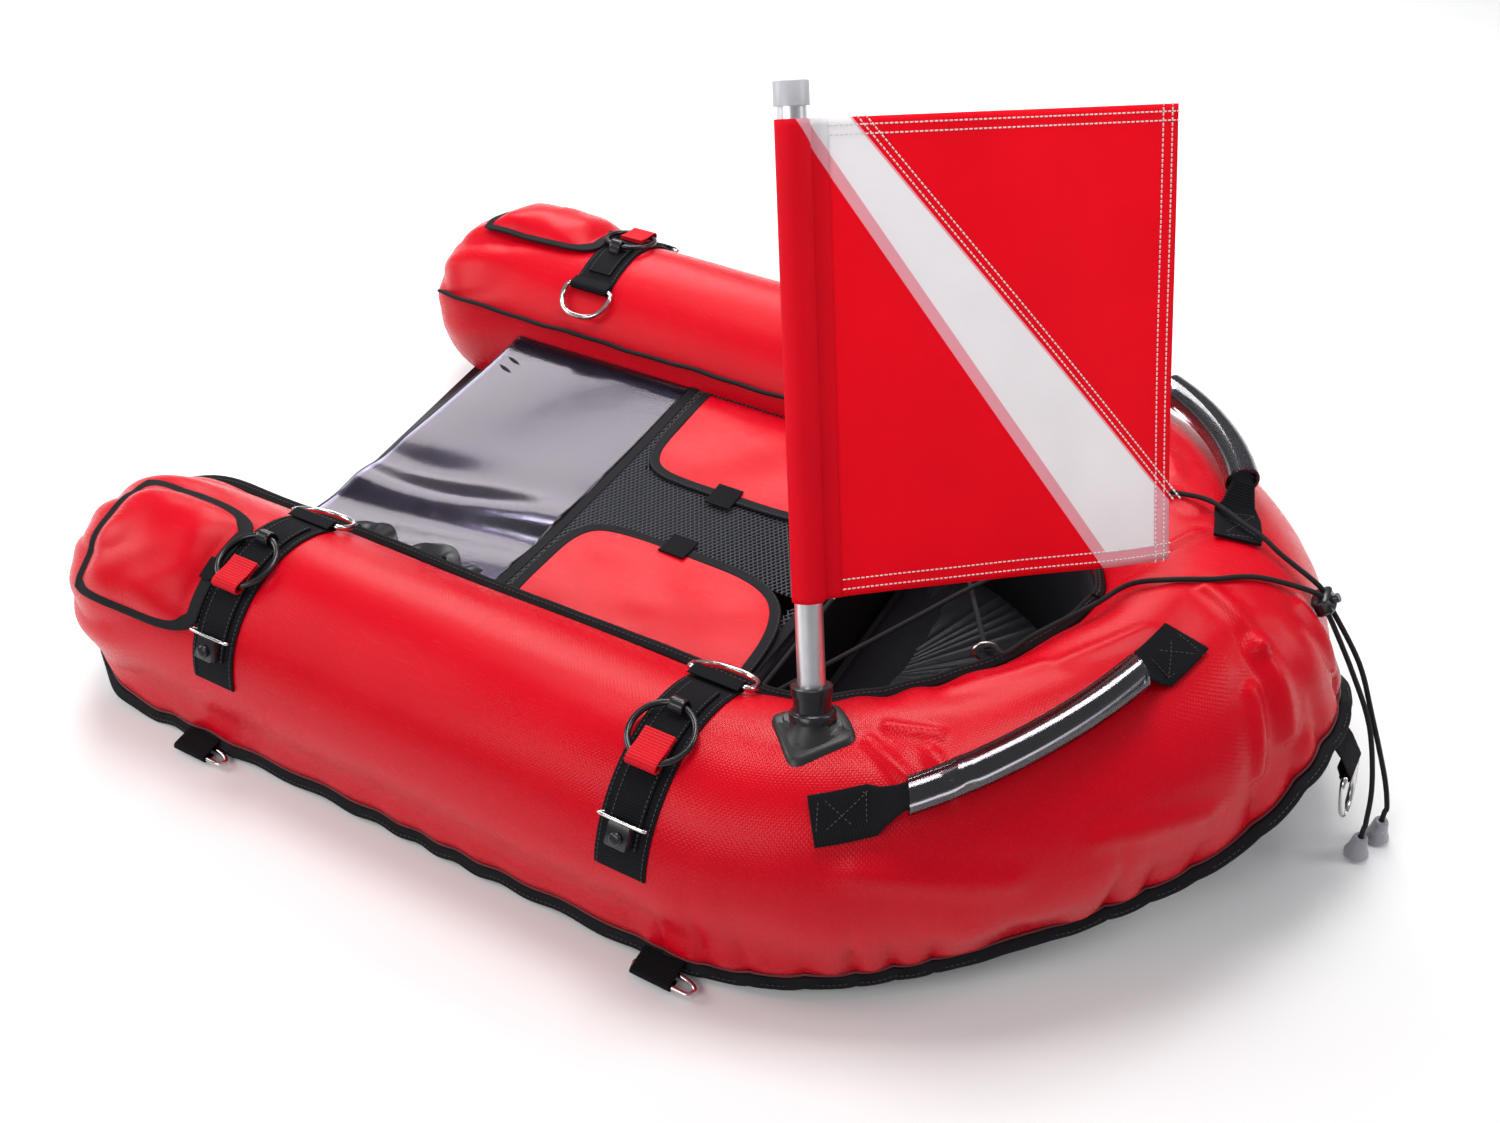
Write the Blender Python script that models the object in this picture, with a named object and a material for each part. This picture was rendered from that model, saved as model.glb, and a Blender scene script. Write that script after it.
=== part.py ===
"""Inflatable float for spearfishing.

Two air bladders lie in a U-shaped cover of red PVC cloth on a flat black hull. Between its arms are a clear deck,
a mesh deck with two lids and an open well with a laced cord. It carries four gun straps, five lashing rings, two
carrying handles and a mast with a divers' flag. Metres, +Z up, +X at the bow, the near arm at -Y. The origin is at
the middle of the float's box, on the surface that it stands on.
"""
import math

import bpy
from mathutils import Matrix, Vector
from mathutils.bvhtree import BVHTree

# Driving sizes of the tube
TUBE_RADIUS = 0.0926
ARM_SPACING = 0.516
ARM_END_X = -0.4250
END_LENGTH = 0.0990
END_POWER = 2.4
BOW_START_X = 0.1225
BOW_LENGTH = 0.280
BOW_POWER = 1.65
BOW_RISE = 0.045
BOW_RISE_START = 0.030
TUBE_SETTLE = 0.001
COVER_WALL = 0.0012
BLADDER_WALL = 0.0006
BLADDER_SPACE = 0.003
BLADDER_SLACK = 0.006
HULL_WALL = 0.0015
GAP = 0.0004

# Seam between cover and hull, as an angle from the inner side over the top of the tube
SEAM_ANGLE_ARM = 226.0
SEAM_ANGLE_TIP = 184.0
SEAM_RISE_WIDTH = 0.080
SEAM_BULGE_ARM = 0.0215
SEAM_BULGE_TIP = 0.0070
BOTTOM_ANGLE = 290.0
REST_HALF_ANGLE = 6.0
BINDING_WIDTH = 0.0090
BINDING_THICKNESS = 0.0030
WELT_ANGLE = 28.0

# Straps and their fittings
STRAP_STERN_X = -0.3035
STRAP_BOW_X = 0.0965
WEBBING = 0.0012
PATCH_WIDTH = 0.044
PATCH_LOW_ANGLE = 171.0
PATCH_TOP_ANGLE = 63.0
RING_ANGLE = 57.0
D_RING_WIDTH = 0.060
D_RING_DEPTH = 0.037
D_RING_WIRE = 0.005
BOW_RING_TILT = 0.0
GUN_STRAP_WIDTH = 0.027
GUN_STRAP_WALL = 0.0014
GUN_STRAP_TOP_ANGLE = 69.0
GUN_STRAP_LOW_ANGLE = 156.0
HOOK_WIDTH = 0.012
HOOK_WALL = 0.0015
HOOK_LOW_ANGLE = 147.0
GUN_RING_OUTER = 0.055
GUN_RING_WIRE = 0.005
GUN_RING_ANGLE = 104.5
GUN_RING_LIFT = 0.0068
TAB_WIDTH = 0.026

# Lashing rings on the hull's edge
LASH_STERN_X = -0.3585
LASH_BOW_X = 0.1200
LASH_TAB_WIDTH = 0.036
LASH_LOOP_Y = 0.3605
LASH_LOOP_Z = 0.0052
LASH_RING_WIDTH = 0.058
LASH_RING_DEPTH = 0.016
LASH_RING_WIRE = 0.004
LASH_RING_SHIFT = 0.008
TOW_TAB_WIDTH = 0.030
TOW_LOOP_X = 0.524
TOW_LOOP_Z = 0.100
TOW_RING_WIDTH = 0.046
TOW_RING_DEPTH = 0.052
TOW_RING_WIRE = 0.005

# Valves, their caps and the flaps over them
VALVE_X = -0.3825
VALVE_ANGLE = 115.0
VALVE_HOLE_RADIUS = 0.0120
VALVE_BORE_RADIUS = 0.0050
VALVE_NECK_RADIUS = 0.0090
VALVE_FLANGE_RADIUS = 0.0200
VALVE_CAP_RADIUS = 0.0135
VALVE_CAP_HEIGHT = 0.0080
FLAP_LENGTH = 0.1305
FLAP_HALF_ANGLE = 35.0
FLAP_DOME = 0.0130

# Decks and well
DECK_HEIGHT = 0.119
DECK_SAG = 0.006
DECK_STERN_X = -0.375
DECK_SPLIT_X = -0.165
DECK_BOW_X = 0.088
DECK_EDGE_GAP = 0.0001
SHEET_WALL = 0.0012
LID_LENGTH = 0.236
LID_REACH = 0.128
LID_WALL = 0.0020
LID_LIFT = 0.0008
LID_HINGE_Y = 0.1640
LID_FORWARD = 0.008
HATCH_MARGIN = 0.014
LINER_WALL = 0.0012
LINER_TOP_ANGLE = 20.0
LINER_START_X = 0.098

# Handles
HANDLE_FROM = 0.132
HANDLE_TO = 0.298
HANDLE_ANGLE_FROM = 121.0
HANDLE_ANGLE_TO = 102.0
HANDLE_LIFT = 0.0205
HANDLE_PATCH = 0.036
HANDLE_WEB_WIDTH = 0.019
HANDLE_WEB_WALL = 0.0025
GRIP_RADIUS = 0.0135
GRIP_WALL = 0.0025

# Mast and flag
MAST_FOOT = Vector((0.1905, -0.2300, 0.1840))
MAST_LEAN = Vector((-0.2310, 0.3850, 0.8930))
MAST_RADIUS = 0.0100
MAST_WALL = 0.0014
MAST_TOP = 0.4440
MAST_CLEARANCE = 0.0004
SOCKET_WALL = 0.0030
SOCKET_HEIGHT = 0.0240
BASE_PLATE = 0.052
BASE_PLATE_WALL = 0.0040
CAP_WALL = 0.0016
CAP_HEIGHT = 0.0160
FLAG_LOW = 0.100
FLAG_HEIGHT = 0.322
FLAG_WIDTH = 0.276
FLAG_WALL = 0.0010
FLAG_DIRECTION = Vector((0.7090, 0.6950, -0.1160))

# Cords and their lock
CORD_RADIUS = 0.0020
CORD_STEPS = 4
ANCHOR = Vector((0.2535, 0.0680, 0.1560))
ANCHOR_RIB = 6.45
ANCHOR_WIDTH = 0.012
ANCHOR_WALL = 0.0016
LACING_REAR_X = 0.110
LACING_REAR_ANGLE = 18.0
LOCK_NEAR_TO = Vector((0.4700, 0.0500, 0.2040))
LOCK_LENGTH = 0.0130
LOCK_WIDTH = 0.0240
LOCK_HEIGHT = 0.0150
LOCK_BORE_RADIUS = 0.0026
LOCK_BORE_OFFSET = 0.0058
LOCK_BUTTON_RADIUS = 0.0036
LOCK_BUTTON_TRAVEL = 0.0030
BELL_RADIUS = 0.0095
BELL_HEIGHT = 0.0200

# Where the wires of both kinds of ring lie in their loops and hooks
RING_LOOP_RADIUS = D_RING_WIRE / 2 + WEBBING / 2 + GAP + 0.0003
RING_BAR_LIFT = RING_LOOP_RADIUS + 0.0010
GUN_RING_REACH = (GUN_RING_OUTER - GUN_RING_WIRE) / 2
GUN_RING_PIVOT_ANGLE = GUN_RING_ANGLE - math.degrees(math.atan2(GUN_RING_REACH, TUBE_RADIUS + GUN_RING_LIFT))
GUN_RING_PIVOT_LIFT = math.hypot(GUN_RING_REACH, TUBE_RADIUS + GUN_RING_LIFT) - TUBE_RADIUS

UPPER_STEPS = 20
LOWER_STEPS = 6
END_STEPS = (0.98, 0.90, 0.75, 0.50, 0.0)
BOW_RIBS = 11

RED_PVC = (0.680, 0.004, 0.010)
BLACK_CLOTH = (0.008, 0.008, 0.010)
BLACK_RUBBER = (0.010, 0.010, 0.011)
PALE_PLASTIC = (0.480, 0.480, 0.500)
STEEL = (0.620, 0.600, 0.580)


def material(name, colour, roughness, metallic=0.0):
    """A Principled material with one colour."""
    made = bpy.data.materials.new(name)
    made.use_nodes = True
    shader = made.node_tree.nodes["Principled BSDF"]
    shader.inputs["Base Color"].default_value = (*colour, 1.0)
    shader.inputs["Roughness"].default_value = roughness
    shader.inputs["Metallic"].default_value = metallic
    return made


def facing_out(vertices, faces):
    """The faces of a closed body turned outwards; an open sheet's are left as they are."""
    edges = {}
    volume = 0.0
    for face in faces:
        for k, here in enumerate(face):
            pair = frozenset((here, face[(k + 1) % len(face)]))
            edges[pair] = edges.get(pair, 0) + 1
        for k in range(1, len(face) - 1):
            volume += vertices[face[0]].dot(vertices[face[k]].cross(vertices[face[k + 1]]))
    if volume < 0 and all(number == 2 for number in edges.values()):
        return [tuple(reversed(face)) for face in faces]
    return faces


def link(name, vertices, faces, finish, smooth=True):
    """A mesh object from points and faces, with its own material."""
    faces = facing_out(vertices, faces)
    mesh = bpy.data.meshes.new(name)
    mesh.from_pydata([tuple(v) for v in vertices], [], faces)
    mesh.validate()
    made = bpy.data.objects.new(name, mesh)
    bpy.context.scene.collection.objects.link(made)
    mesh.materials.append(material(name, *finish))
    if smooth:
        mesh.shade_smooth()
        mesh.set_sharp_from_angle(angle=math.radians(40))
    return made


def hide(tool):
    """Marks an object as a tool for a Boolean."""
    tool.hide_render = True
    tool.display_type = "WIRE"
    return tool


def thicken(target, wall, offset=-1.0):
    """Gives an open sheet its wall; offset -1 adds it behind the faces, 0 on both sides and 1 in front."""
    solid = target.modifiers.new("wall", "SOLIDIFY")
    solid.thickness = wall
    solid.offset = offset
    solid.use_even_offset = True
    return target


def boolean(target, tool, operation):
    """Cuts the target with a tool, or joins the tool to it."""
    step = target.modifiers.new(operation.lower(), "BOOLEAN")
    step.operation = operation
    step.solver = "EXACT"
    step.object = hide(tool)


def grid_faces(rows, columns, flip=False):
    """Quads between rows of points."""
    faces = []
    for r in range(rows - 1):
        for c in range(columns - 1):
            a = r * columns + c
            quad = (a, a + 1, a + columns + 1, a + columns)
            faces.append(tuple(reversed(quad)) if flip else quad)
    return faces


def sheet(name, rows, wall, finish, offset=0.0, flip=False):
    """A thickened sheet through rows of points."""
    points = [p for row in rows for p in row]
    made = link(name, points, grid_faces(len(rows), len(rows[0]), flip), finish)
    return thicken(made, wall, offset)


def ring_faces(rings, count, closed):
    """Quads between rings of count points, joined end to start when closed."""
    faces = []
    for r in range(rings if closed else rings - 1):
        following = (r + 1) % rings
        for c in range(count):
            after = (c + 1) % count
            faces.append((r * count + c, r * count + after, following * count + after, following * count + c))
    return faces


def turned(name, profile, segments, finish, place, closed=True):
    """Turns a profile of (radius, height) pairs, anticlockwise, about the placement's Z.

    A profile that isn't closed starts and ends on flat discs.
    """
    points = []
    for step in range(segments):
        turn = math.tau * step / segments
        for radius, height in profile:
            points.append(place @ Vector((radius * math.cos(turn), radius * math.sin(turn), height)))
    count = len(profile)
    faces = []
    for step in range(segments):
        here = step * count
        after = (step + 1) % segments * count
        for c in range(count if closed else count - 1):
            d = (c + 1) % count
            faces.append((here + c, after + c, after + d, here + d))
    if not closed:
        faces.append(tuple(reversed([s * count for s in range(segments)])))
        faces.append(tuple(s * count + count - 1 for s in range(segments)))
    return link(name, points, faces, finish)


def wire(name, path, sides, radius, finish, up):
    """A closed ring of round wire through a path in the plane square to up."""
    count = len(path)
    points = []
    for k, point in enumerate(path):
        before = (point - path[k - 1]).normalized().cross(up)
        after = (path[(k + 1) % count] - point).normalized().cross(up)
        mitre = (before + after).normalized()
        stretch = 1.0 / max(0.6, mitre.dot(after))
        for side in range(sides):
            turn = math.tau * (side + 0.5) / sides
            points.append(point + mitre * (radius * stretch * math.cos(turn)) + up * (radius * math.sin(turn)))
    return link(name, points, ring_faces(count, sides, True), finish)


def smooth_path(points, steps):
    """A smooth curve through points, with steps to each stretch."""
    ends = [points[0] * 2 - points[1]] + list(points) + [points[-1] * 2 - points[-2]]
    made = []
    for k in range(1, len(ends) - 2):
        a, b, c, d = ends[k - 1:k + 3]
        for step in range(steps):
            t = step / steps
            part = b * 2 + (c - a) * t + (a * 2 - b * 5 + c * 4 - d) * t ** 2 + (b * 3 - a - c * 3 + d) * t ** 3
            made.append(part * 0.5)
    return made + [points[-1]]


def cord(name, path, sides, radius, finish):
    """A round cord along any path, with flat ends."""
    points = []
    across = None
    for k, point in enumerate(path):
        tangent = (path[min(k + 1, len(path) - 1)] - path[max(k - 1, 0)]).normalized()
        if across is None:
            across = tangent.orthogonal()
        across = (across - tangent * across.dot(tangent)).normalized()
        other = tangent.cross(across)
        for side in range(sides):
            turn = math.tau * side / sides
            points.append(point + across * (radius * math.cos(turn)) + other * (radius * math.sin(turn)))
    faces = ring_faces(len(path), sides, False)
    faces.append(tuple(reversed(range(sides))))
    faces.append(tuple(range((len(path) - 1) * sides, len(path) * sides)))
    return link(name, points, faces, finish)


def frame_at(origin, x_axis, z_axis):
    """A placement whose Z is z_axis and whose X is as near x_axis as it can be."""
    z = z_axis.normalized()
    y = z.cross(x_axis).normalized()
    x = y.cross(z)
    return Matrix((( x.x, y.x, z.x, origin.x), (x.y, y.y, z.y, origin.y), (x.z, y.z, z.z, origin.z), (0, 0, 0, 1)))


# The tube: side is -1 on the near arm and 1 on the far one, and along runs from the bow's start, forward positive


def bow_point(turn):
    """The bow's centre line in plan on the far side; turn is 0 at the arm and 90 degrees at the tip."""
    forward = math.sin(math.radians(turn))
    across = math.cos(math.radians(turn))
    x = BOW_START_X + BOW_LENGTH * forward ** (2 / BOW_POWER)
    return Vector((x, ARM_SPACING / 2 * max(across, 0.0) ** (2 / BOW_POWER)))


def bow_lengths(count=180):
    """Lengths along the centre line from the arm to each of count equal turns."""
    lengths = [0.0]
    for k in range(count):
        lengths.append(lengths[-1] + (bow_point(90 * (k + 1) / count) - bow_point(90 * k / count)).length)
    return lengths


BOW_TABLE = bow_lengths()
BOW_ARC = BOW_TABLE[-1]


def turn_at(along):
    """The turn round the bow at a length along its centre line."""
    for k in range(len(BOW_TABLE) - 1):
        if along <= BOW_TABLE[k + 1]:
            part = (along - BOW_TABLE[k]) / (BOW_TABLE[k + 1] - BOW_TABLE[k])
            return 90 * (k + part) / (len(BOW_TABLE) - 1)
    return 90.0


class Rib:
    """One cross-section of the tube."""

    def __init__(self, side, along, end_step=0.0):
        self.size = (1 - end_step ** END_POWER) ** (1 / END_POWER)
        if along <= 0:
            x = BOW_START_X + along - END_LENGTH * end_step
            y = ARM_SPACING / 2
            outward = Vector((0, 1))
        else:
            here = bow_point(turn_at(along))
            x, y = here
            outward = Vector((1, 0))
            if along < BOW_ARC - 1e-6:
                step = bow_point(turn_at(along + 0.002)) - bow_point(turn_at(max(along - 0.002, 0.0)))
                outward = Vector((-step.y, step.x)).normalized()
        self.side = side
        self.outward = Vector((outward.x, side * outward.y, 0))
        lift = min(max((x - BOW_START_X - BOW_RISE_START) / (BOW_LENGTH - BOW_RISE_START), 0.0), 1.0)
        base = HULL_WALL + GAP
        self.centre = Vector((x, side * y, base + TUBE_RADIUS - TUBE_SETTLE + BOW_RISE * lift ** 1.5))
        near_tip = math.exp(-(y / SEAM_RISE_WIDTH) ** 2) if along > 0 else 0.0
        self.seam = SEAM_ANGLE_ARM + (SEAM_ANGLE_TIP - SEAM_ANGLE_ARM) * near_tip
        fade = min(max((x - BOW_START_X) / 0.17, 0.0), 1.0)
        self.bulge = SEAM_BULGE_ARM + (SEAM_BULGE_TIP - SEAM_BULGE_ARM) * fade

    def angles(self):
        """The angles of the section's corners, from the bottom's inner edge over the top and round to it."""
        first = BOTTOM_ANGLE - 360
        upper = [first + (self.seam - first) * k / UPPER_STEPS for k in range(UPPER_STEPS + 1)]
        return upper + self.lower_angles()

    def lower_angles(self):
        """The angles of the corners under the seam, the last two on both edges of the strip it rests on."""
        rest = 270 - REST_HALF_ANGLE
        count = LOWER_STEPS - 2
        return [self.seam + (rest - self.seam) * k / count for k in range(1, count + 1)] + [270 + REST_HALF_ANGLE]

    def direction(self, angle):
        """The direction out of the section at an angle."""
        turn = math.radians(angle)
        return self.outward * -math.cos(turn) + Vector((0, 0, math.sin(turn)))

    def point(self, angle, lift=0.0, pointed=True):
        """A point on the cover's outside, or lift outside it, kept above the hull; pointed where the seam is."""
        swell = self.bulge * math.exp(-((angle - self.seam) / 14.0) ** 2) if pointed else 0.0
        made = self.centre + self.direction(angle) * ((TUBE_RADIUS + swell) * self.size + lift)
        made.z = max(made.z, HULL_WALL + GAP - lift)
        return made

    def ring(self, lift=0.0, pointed=True):
        """All corners of the section."""
        return [self.point(a, lift, pointed) for a in self.angles()]


def arm_ribs(side, places=()):
    """Ribs from the stern end to the bow's start."""
    ribs = [Rib(side, ARM_END_X - BOW_START_X, step) for step in END_STEPS]
    return ribs + [Rib(side, x - BOW_START_X) for x in places] + [Rib(side, 0.0)]


def bow_ribs(side, count):
    """Ribs round the bow after its start, as far as the tip."""
    return [Rib(side, BOW_ARC * k / count) for k in range(1, count + 1)]


def whole_run():
    """Ribs from the near arm's stern end round the bow to the far arm's."""
    near = arm_ribs(-1, (-0.16,)) + bow_ribs(-1, BOW_RIBS)
    far = arm_ribs(1, (-0.16,)) + bow_ribs(1, BOW_RIBS)[:-1]
    return near, list(reversed(far))


def tube_mesh(ribs, lift):
    """Points and faces of a closed tube through ribs."""
    points = [p for rib in ribs for p in rib.ring(lift)]
    count = UPPER_STEPS + LOWER_STEPS
    faces = ring_faces(len(ribs), count, False)
    faces.append(tuple(reversed(range(count))))
    faces.append(tuple(range((len(ribs) - 1) * count, len(ribs) * count)))
    return points, faces


def cover_surface():
    """The cover's outer surface as points and faces, and as a tree for finding places on it."""
    near, far = whole_run()
    points, faces = tube_mesh(near + far, 0.0)
    return points, faces, BVHTree.FromPolygons([tuple(p) for p in points], faces)


COVER_POINTS, COVER_FACES, COVER_TREE = cover_surface()


def skin(side, along, angle, lift=0.0):
    """The point lift above the cover, at a length along the tube and an angle round it."""
    rib = Rib(side, along)
    way = rib.direction(angle)
    start = rib.centre + way * (TUBE_RADIUS * 1.6)
    hit = COVER_TREE.ray_cast(start, -way)[0]
    return hit + way * lift


def arm_frame(side, x, angle, lift):
    """On an arm: X forward, Y towards smaller angles and Z out of the tube."""
    rib = Rib(side, x - BOW_START_X)
    towards = rib.direction(angle - 90)
    out = rib.direction(angle)
    origin = rib.centre + out * (TUBE_RADIUS + lift)
    return Matrix(((1, 0, 0, origin.x), (0, towards.y, out.y, origin.y), (0, towards.z, out.z, origin.z), (0, 0, 0, 1)))


def arc(centre, radius, first, last, steps):
    """Points round a centre, by angles in degrees."""
    made = []
    for k in range(steps + 1):
        turn = math.radians(first + (last - first) * k / steps)
        made.append((centre[0] + radius * math.cos(turn), centre[1] + radius * math.sin(turn)))
    return made


# Cover, bladders and hull


def valve_frame(side):
    """Z out of the cover at a valve, on the flat of the cover's facet."""
    seat = skin(side, VALVE_X - BOW_START_X, VALVE_ANGLE)
    rib = Rib(side, VALVE_X - BOW_START_X)
    first = BOTTOM_ANGLE - 360
    step = (SEAM_ANGLE_ARM - first) / UPPER_STEPS
    facet = first + step * (math.floor((VALVE_ANGLE - first) / step) + 0.5)
    return frame_at(seat, Vector((1, 0, 0)), rib.direction(facet))


def valve_cutter(name, side):
    """A round tool for the valve's hole."""
    return rod(name, valve_frame(side), -0.02, 0.02, VALVE_HOLE_RADIUS, 16)


def rod(name, place, low, high, radius, segments, finish=(BLACK_RUBBER, 0.5)):
    """A plain round rod on the placement's Z."""
    points = []
    for height in (low, high):
        for step in range(segments):
            turn = math.tau * step / segments
            points.append(place @ Vector((radius * math.cos(turn), radius * math.sin(turn), height)))
    faces = ring_faces(2, segments, False)
    faces.append(tuple(reversed(range(segments))))
    faces.append(tuple(range(segments, 2 * segments)))
    return link(name, points, faces, finish)


def cover():
    """The red cover, with a hole at each valve."""
    made = link("cover", COVER_POINTS, COVER_FACES, (RED_PVC, 0.28))
    thicken(made, COVER_WALL)
    for side, label in ((-1, "near"), (1, "far")):
        boolean(made, valve_cutter("cut_cover_" + label, side), "DIFFERENCE")


def bladder(side, label):
    """One air bladder, from an arm's stern end to the middle of the bow."""
    inset = -(COVER_WALL + 2 * GAP)
    count = (UPPER_STEPS + LOWER_STEPS) // 2
    points = []
    for step in (0.90, 0.75, 0.50, 0.0):
        rib = Rib(side, ARM_END_X - BOW_START_X, step)
        slack = BLADDER_SLACK * step
        points += [p + Vector((slack, 0, 0)) for p in rib.ring(inset - slack, False)[::2]]
    ribs = [Rib(side, -0.16), Rib(side, 0.0)] + bow_ribs(side, BOW_RIBS)
    points += [p for rib in ribs for p in rib.ring(inset, False)[::2]]
    rings = len(ribs) + 4
    for point in points[-count:]:
        point.y += side * BLADDER_SPACE
    faces = ring_faces(rings, count, False)
    faces.append(tuple(reversed(range(count))))
    faces.append(tuple(range((rings - 1) * count, rings * count)))
    made = link("bladder_" + label, points, faces, ((0.55, 0.55, 0.52), 0.4))
    thicken(made, BLADDER_WALL)
    boolean(made, valve_cutter("cut_bladder_" + label, side), "DIFFERENCE")


def hull():
    """The black hull under the tube and between the arms."""
    near, far = whole_run()
    rows = []
    for rib in near + far:
        angles = [rib.seam + 1.5] + rib.lower_angles() + [BOTTOM_ANGLE]
        row = [rib.point(a, GAP) for a in angles]
        for point in row:
            point.z = max(point.z, HULL_WALL)
        row.append(Vector((min(rib.centre.x, BOW_START_X), 0, HULL_WALL)))
        rows.append(row)
    points = [p for row in rows for p in row]
    columns = len(rows[0])
    weld = {}
    remap = []
    kept = []
    for point in points:
        key = (round(point.x, 5), round(point.y, 5), round(point.z, 5))
        if key not in weld:
            weld[key] = len(kept)
            kept.append(point)
        remap.append(weld[key])
    faces = []
    for number, quad in enumerate(grid_faces(len(rows), columns)):
        row, column = divmod(number, columns - 1)
        if column == columns - 2 and not 1 < row < len(rows) - 3:
            continue
        joined = []
        for index in quad:
            if remap[index] not in joined:
                joined.append(remap[index])
        if len(joined) > 2:
            faces.append(tuple(joined))
    made = link("hull_sheet", kept, faces, (BLACK_CLOTH, 0.6))
    thicken(made, HULL_WALL, 1.0)


# Air valves and their flaps


def valve(side, label):
    """A valve through the cover and the bladder, clamped by a flange on each side."""
    low = -0.0095
    profile = [(VALVE_BORE_RADIUS, low), (0.0150, low), (0.0150, low + 0.0015), (VALVE_NECK_RADIUS, low + 0.0015),
               (VALVE_NECK_RADIUS, 0.0006), (VALVE_FLANGE_RADIUS, 0.0006), (VALVE_FLANGE_RADIUS, 0.0018),
               (VALVE_NECK_RADIUS, 0.0018), (VALVE_NECK_RADIUS, 0.0055), (VALVE_BORE_RADIUS, 0.0055)]
    turned("valve_" + label, profile, 20, (BLACK_RUBBER, 0.5), valve_frame(side))
    inner = VALVE_NECK_RADIUS + 0.0008
    top = 0.0022 + VALVE_CAP_HEIGHT
    cap = [(inner, top - 0.0025), (inner, 0.0022), (VALVE_CAP_RADIUS, 0.0022), (VALVE_CAP_RADIUS, top - 0.0010),
           (VALVE_CAP_RADIUS - 0.0010, top)]
    turned("valve_cap_" + label, cap, 20, (BLACK_RUBBER, 0.4), valve_frame(side), closed=False)


def valve_flap(side, label):
    """The domed flap over a valve, hinged at its stern edge."""
    start = VALVE_X - BOW_START_X - 0.075
    rows = []
    for i in range(11):
        u = i / 10
        narrow = (1 - (0.985 * u) ** 6) ** (1 / 6)
        row = []
        for j in range(11):
            v = j / 5 - 1
            dome = FLAP_DOME * (1 - (2 * min(u / 0.92, 1.0) - 1) ** 4) * (1 - v ** 4)
            angle = VALVE_ANGLE + FLAP_HALF_ANGLE * narrow * v
            row.append(skin(side, start + FLAP_LENGTH * u, angle, 0.0022 + dome))
        rows.append(row)
    sheet("valve_flap_" + label, rows, 0.0018, (RED_PVC, 0.35))


# Binding, welts and decks


def band(name, path, width, wall, finish, across):
    """A band of webbing along a path, with its width lying on across."""
    rows = [[p - across * (width / 2), p + across * (width / 2)] for p in path]
    return sheet(name, rows, wall, finish)


def seam_ribs():
    """Ribs that carry the hull's binding, from one stern end to the other."""
    near, far = whole_run()
    return near[1:] + far[:-1]


def lash_path(side):
    """The route of a lashing ring's tab in Y and Z: out of the binding, round the ring and back."""
    radius = LASH_RING_WIRE / 2 + WEBBING / 2 + GAP
    loop = arc((LASH_LOOP_Y, LASH_LOOP_Z), radius + 0.0002, 90, -110, 6)
    path = [(0.3405, 0.0092), (0.3520, 0.0090)] + loop + [(0.3530, LASH_LOOP_Z - radius)]
    return [(side * y, z) for y, z in path]


def binding():
    """The bound edge of the hull with the five tabs that are sewn into it."""
    rows = []
    for rib in seam_ribs():
        rows.append([rib.point(rib.seam, 0.0024), rib.point(rib.seam, 0.0024 + BINDING_WIDTH)])
    made = sheet("hull_binding", rows, BINDING_THICKNESS, (BLACK_CLOTH, 0.45))
    for side, label in ((-1, "near"), (1, "far")):
        for x, place in ((LASH_STERN_X, "stern"), (LASH_BOW_X, "bow")):
            path = [Vector((x, y, z)) for y, z in lash_path(side)]
            tab = band("tab_" + label + "_" + place, path, LASH_TAB_WIDTH, WEBBING, (BLACK_CLOTH, 0.6),
                       Vector((1, 0, 0)))
            boolean(made, tab, "UNION")
    radius = TOW_RING_WIRE / 2 + WEBBING / 2 + GAP + 0.0003
    loop = arc((TOW_LOOP_X, TOW_LOOP_Z), radius, 30, -190, 6)
    path = [(0.5090, 0.1285), (0.5180, 0.1180)] + loop + [(TOW_LOOP_X - 0.0070, TOW_LOOP_Z + 0.0080)]
    tab = band("tab_tow", [Vector((x, 0, z)) for x, z in path], TOW_TAB_WIDTH, WEBBING, (BLACK_CLOTH, 0.6),
               Vector((0, 1, 0)))
    boolean(made, tab, "UNION")


def d_path(width, depth, corner, steps):
    """A ring's outline in its own plane: a straight bar on X and a round bow towards +Y."""
    half = [(width - corner, 0.0), (width - 0.3 * corner, 0.3 * corner), (width, corner)]
    for k in range(1, steps + 1):
        turn = math.radians(90 * k / steps)
        half.append((width * math.cos(turn) ** 0.8, corner + (depth - corner) * math.sin(turn) ** 0.9))
    return half + [(-x, y) for x, y in reversed(half[:-1])]


def lash_ring(side, x, label):
    """A steel ring in a tab, folded back towards the float."""
    width = (LASH_RING_WIDTH - LASH_RING_WIRE) / 2
    depth = LASH_RING_DEPTH - LASH_RING_WIRE
    path = [Vector((x + LASH_RING_SHIFT + a, side * (LASH_LOOP_Y - b), LASH_LOOP_Z))
            for a, b in d_path(width, depth, 0.0045, 4)]
    wire("lash_ring_" + label, path, 8, LASH_RING_WIRE / 2, (STEEL, 0.2, 1.0), Vector((0, 0, side)))


def tow_ring():
    """The towing ring at the bow."""
    down = Vector((0.14, 0, -0.99)).normalized()
    width = (TOW_RING_WIDTH - TOW_RING_WIRE) / 2
    path = [Vector((TOW_LOOP_X, 0, TOW_LOOP_Z)) + Vector((0, a, 0)) + down * b
            for a, b in d_path(width, TOW_RING_DEPTH - TOW_RING_WIRE, 0.0045, 5)]
    wire("tow_ring", path, 8, TOW_RING_WIRE / 2, (STEEL, 0.2, 1.0), Vector((0, 1, 0)).cross(down))


def anchor(side):
    """Where the laced cord is held at the front of the well."""
    return Vector((ANCHOR.x, side * ANCHOR.y, ANCHOR.z))


def anchor_way(side):
    """The direction in which the anchor's tab points."""
    return (anchor(side) - Rib(side, BOW_ARC * ANCHOR_RIB / BOW_RIBS).point(WELT_ANGLE, 0.005)).normalized()


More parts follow.
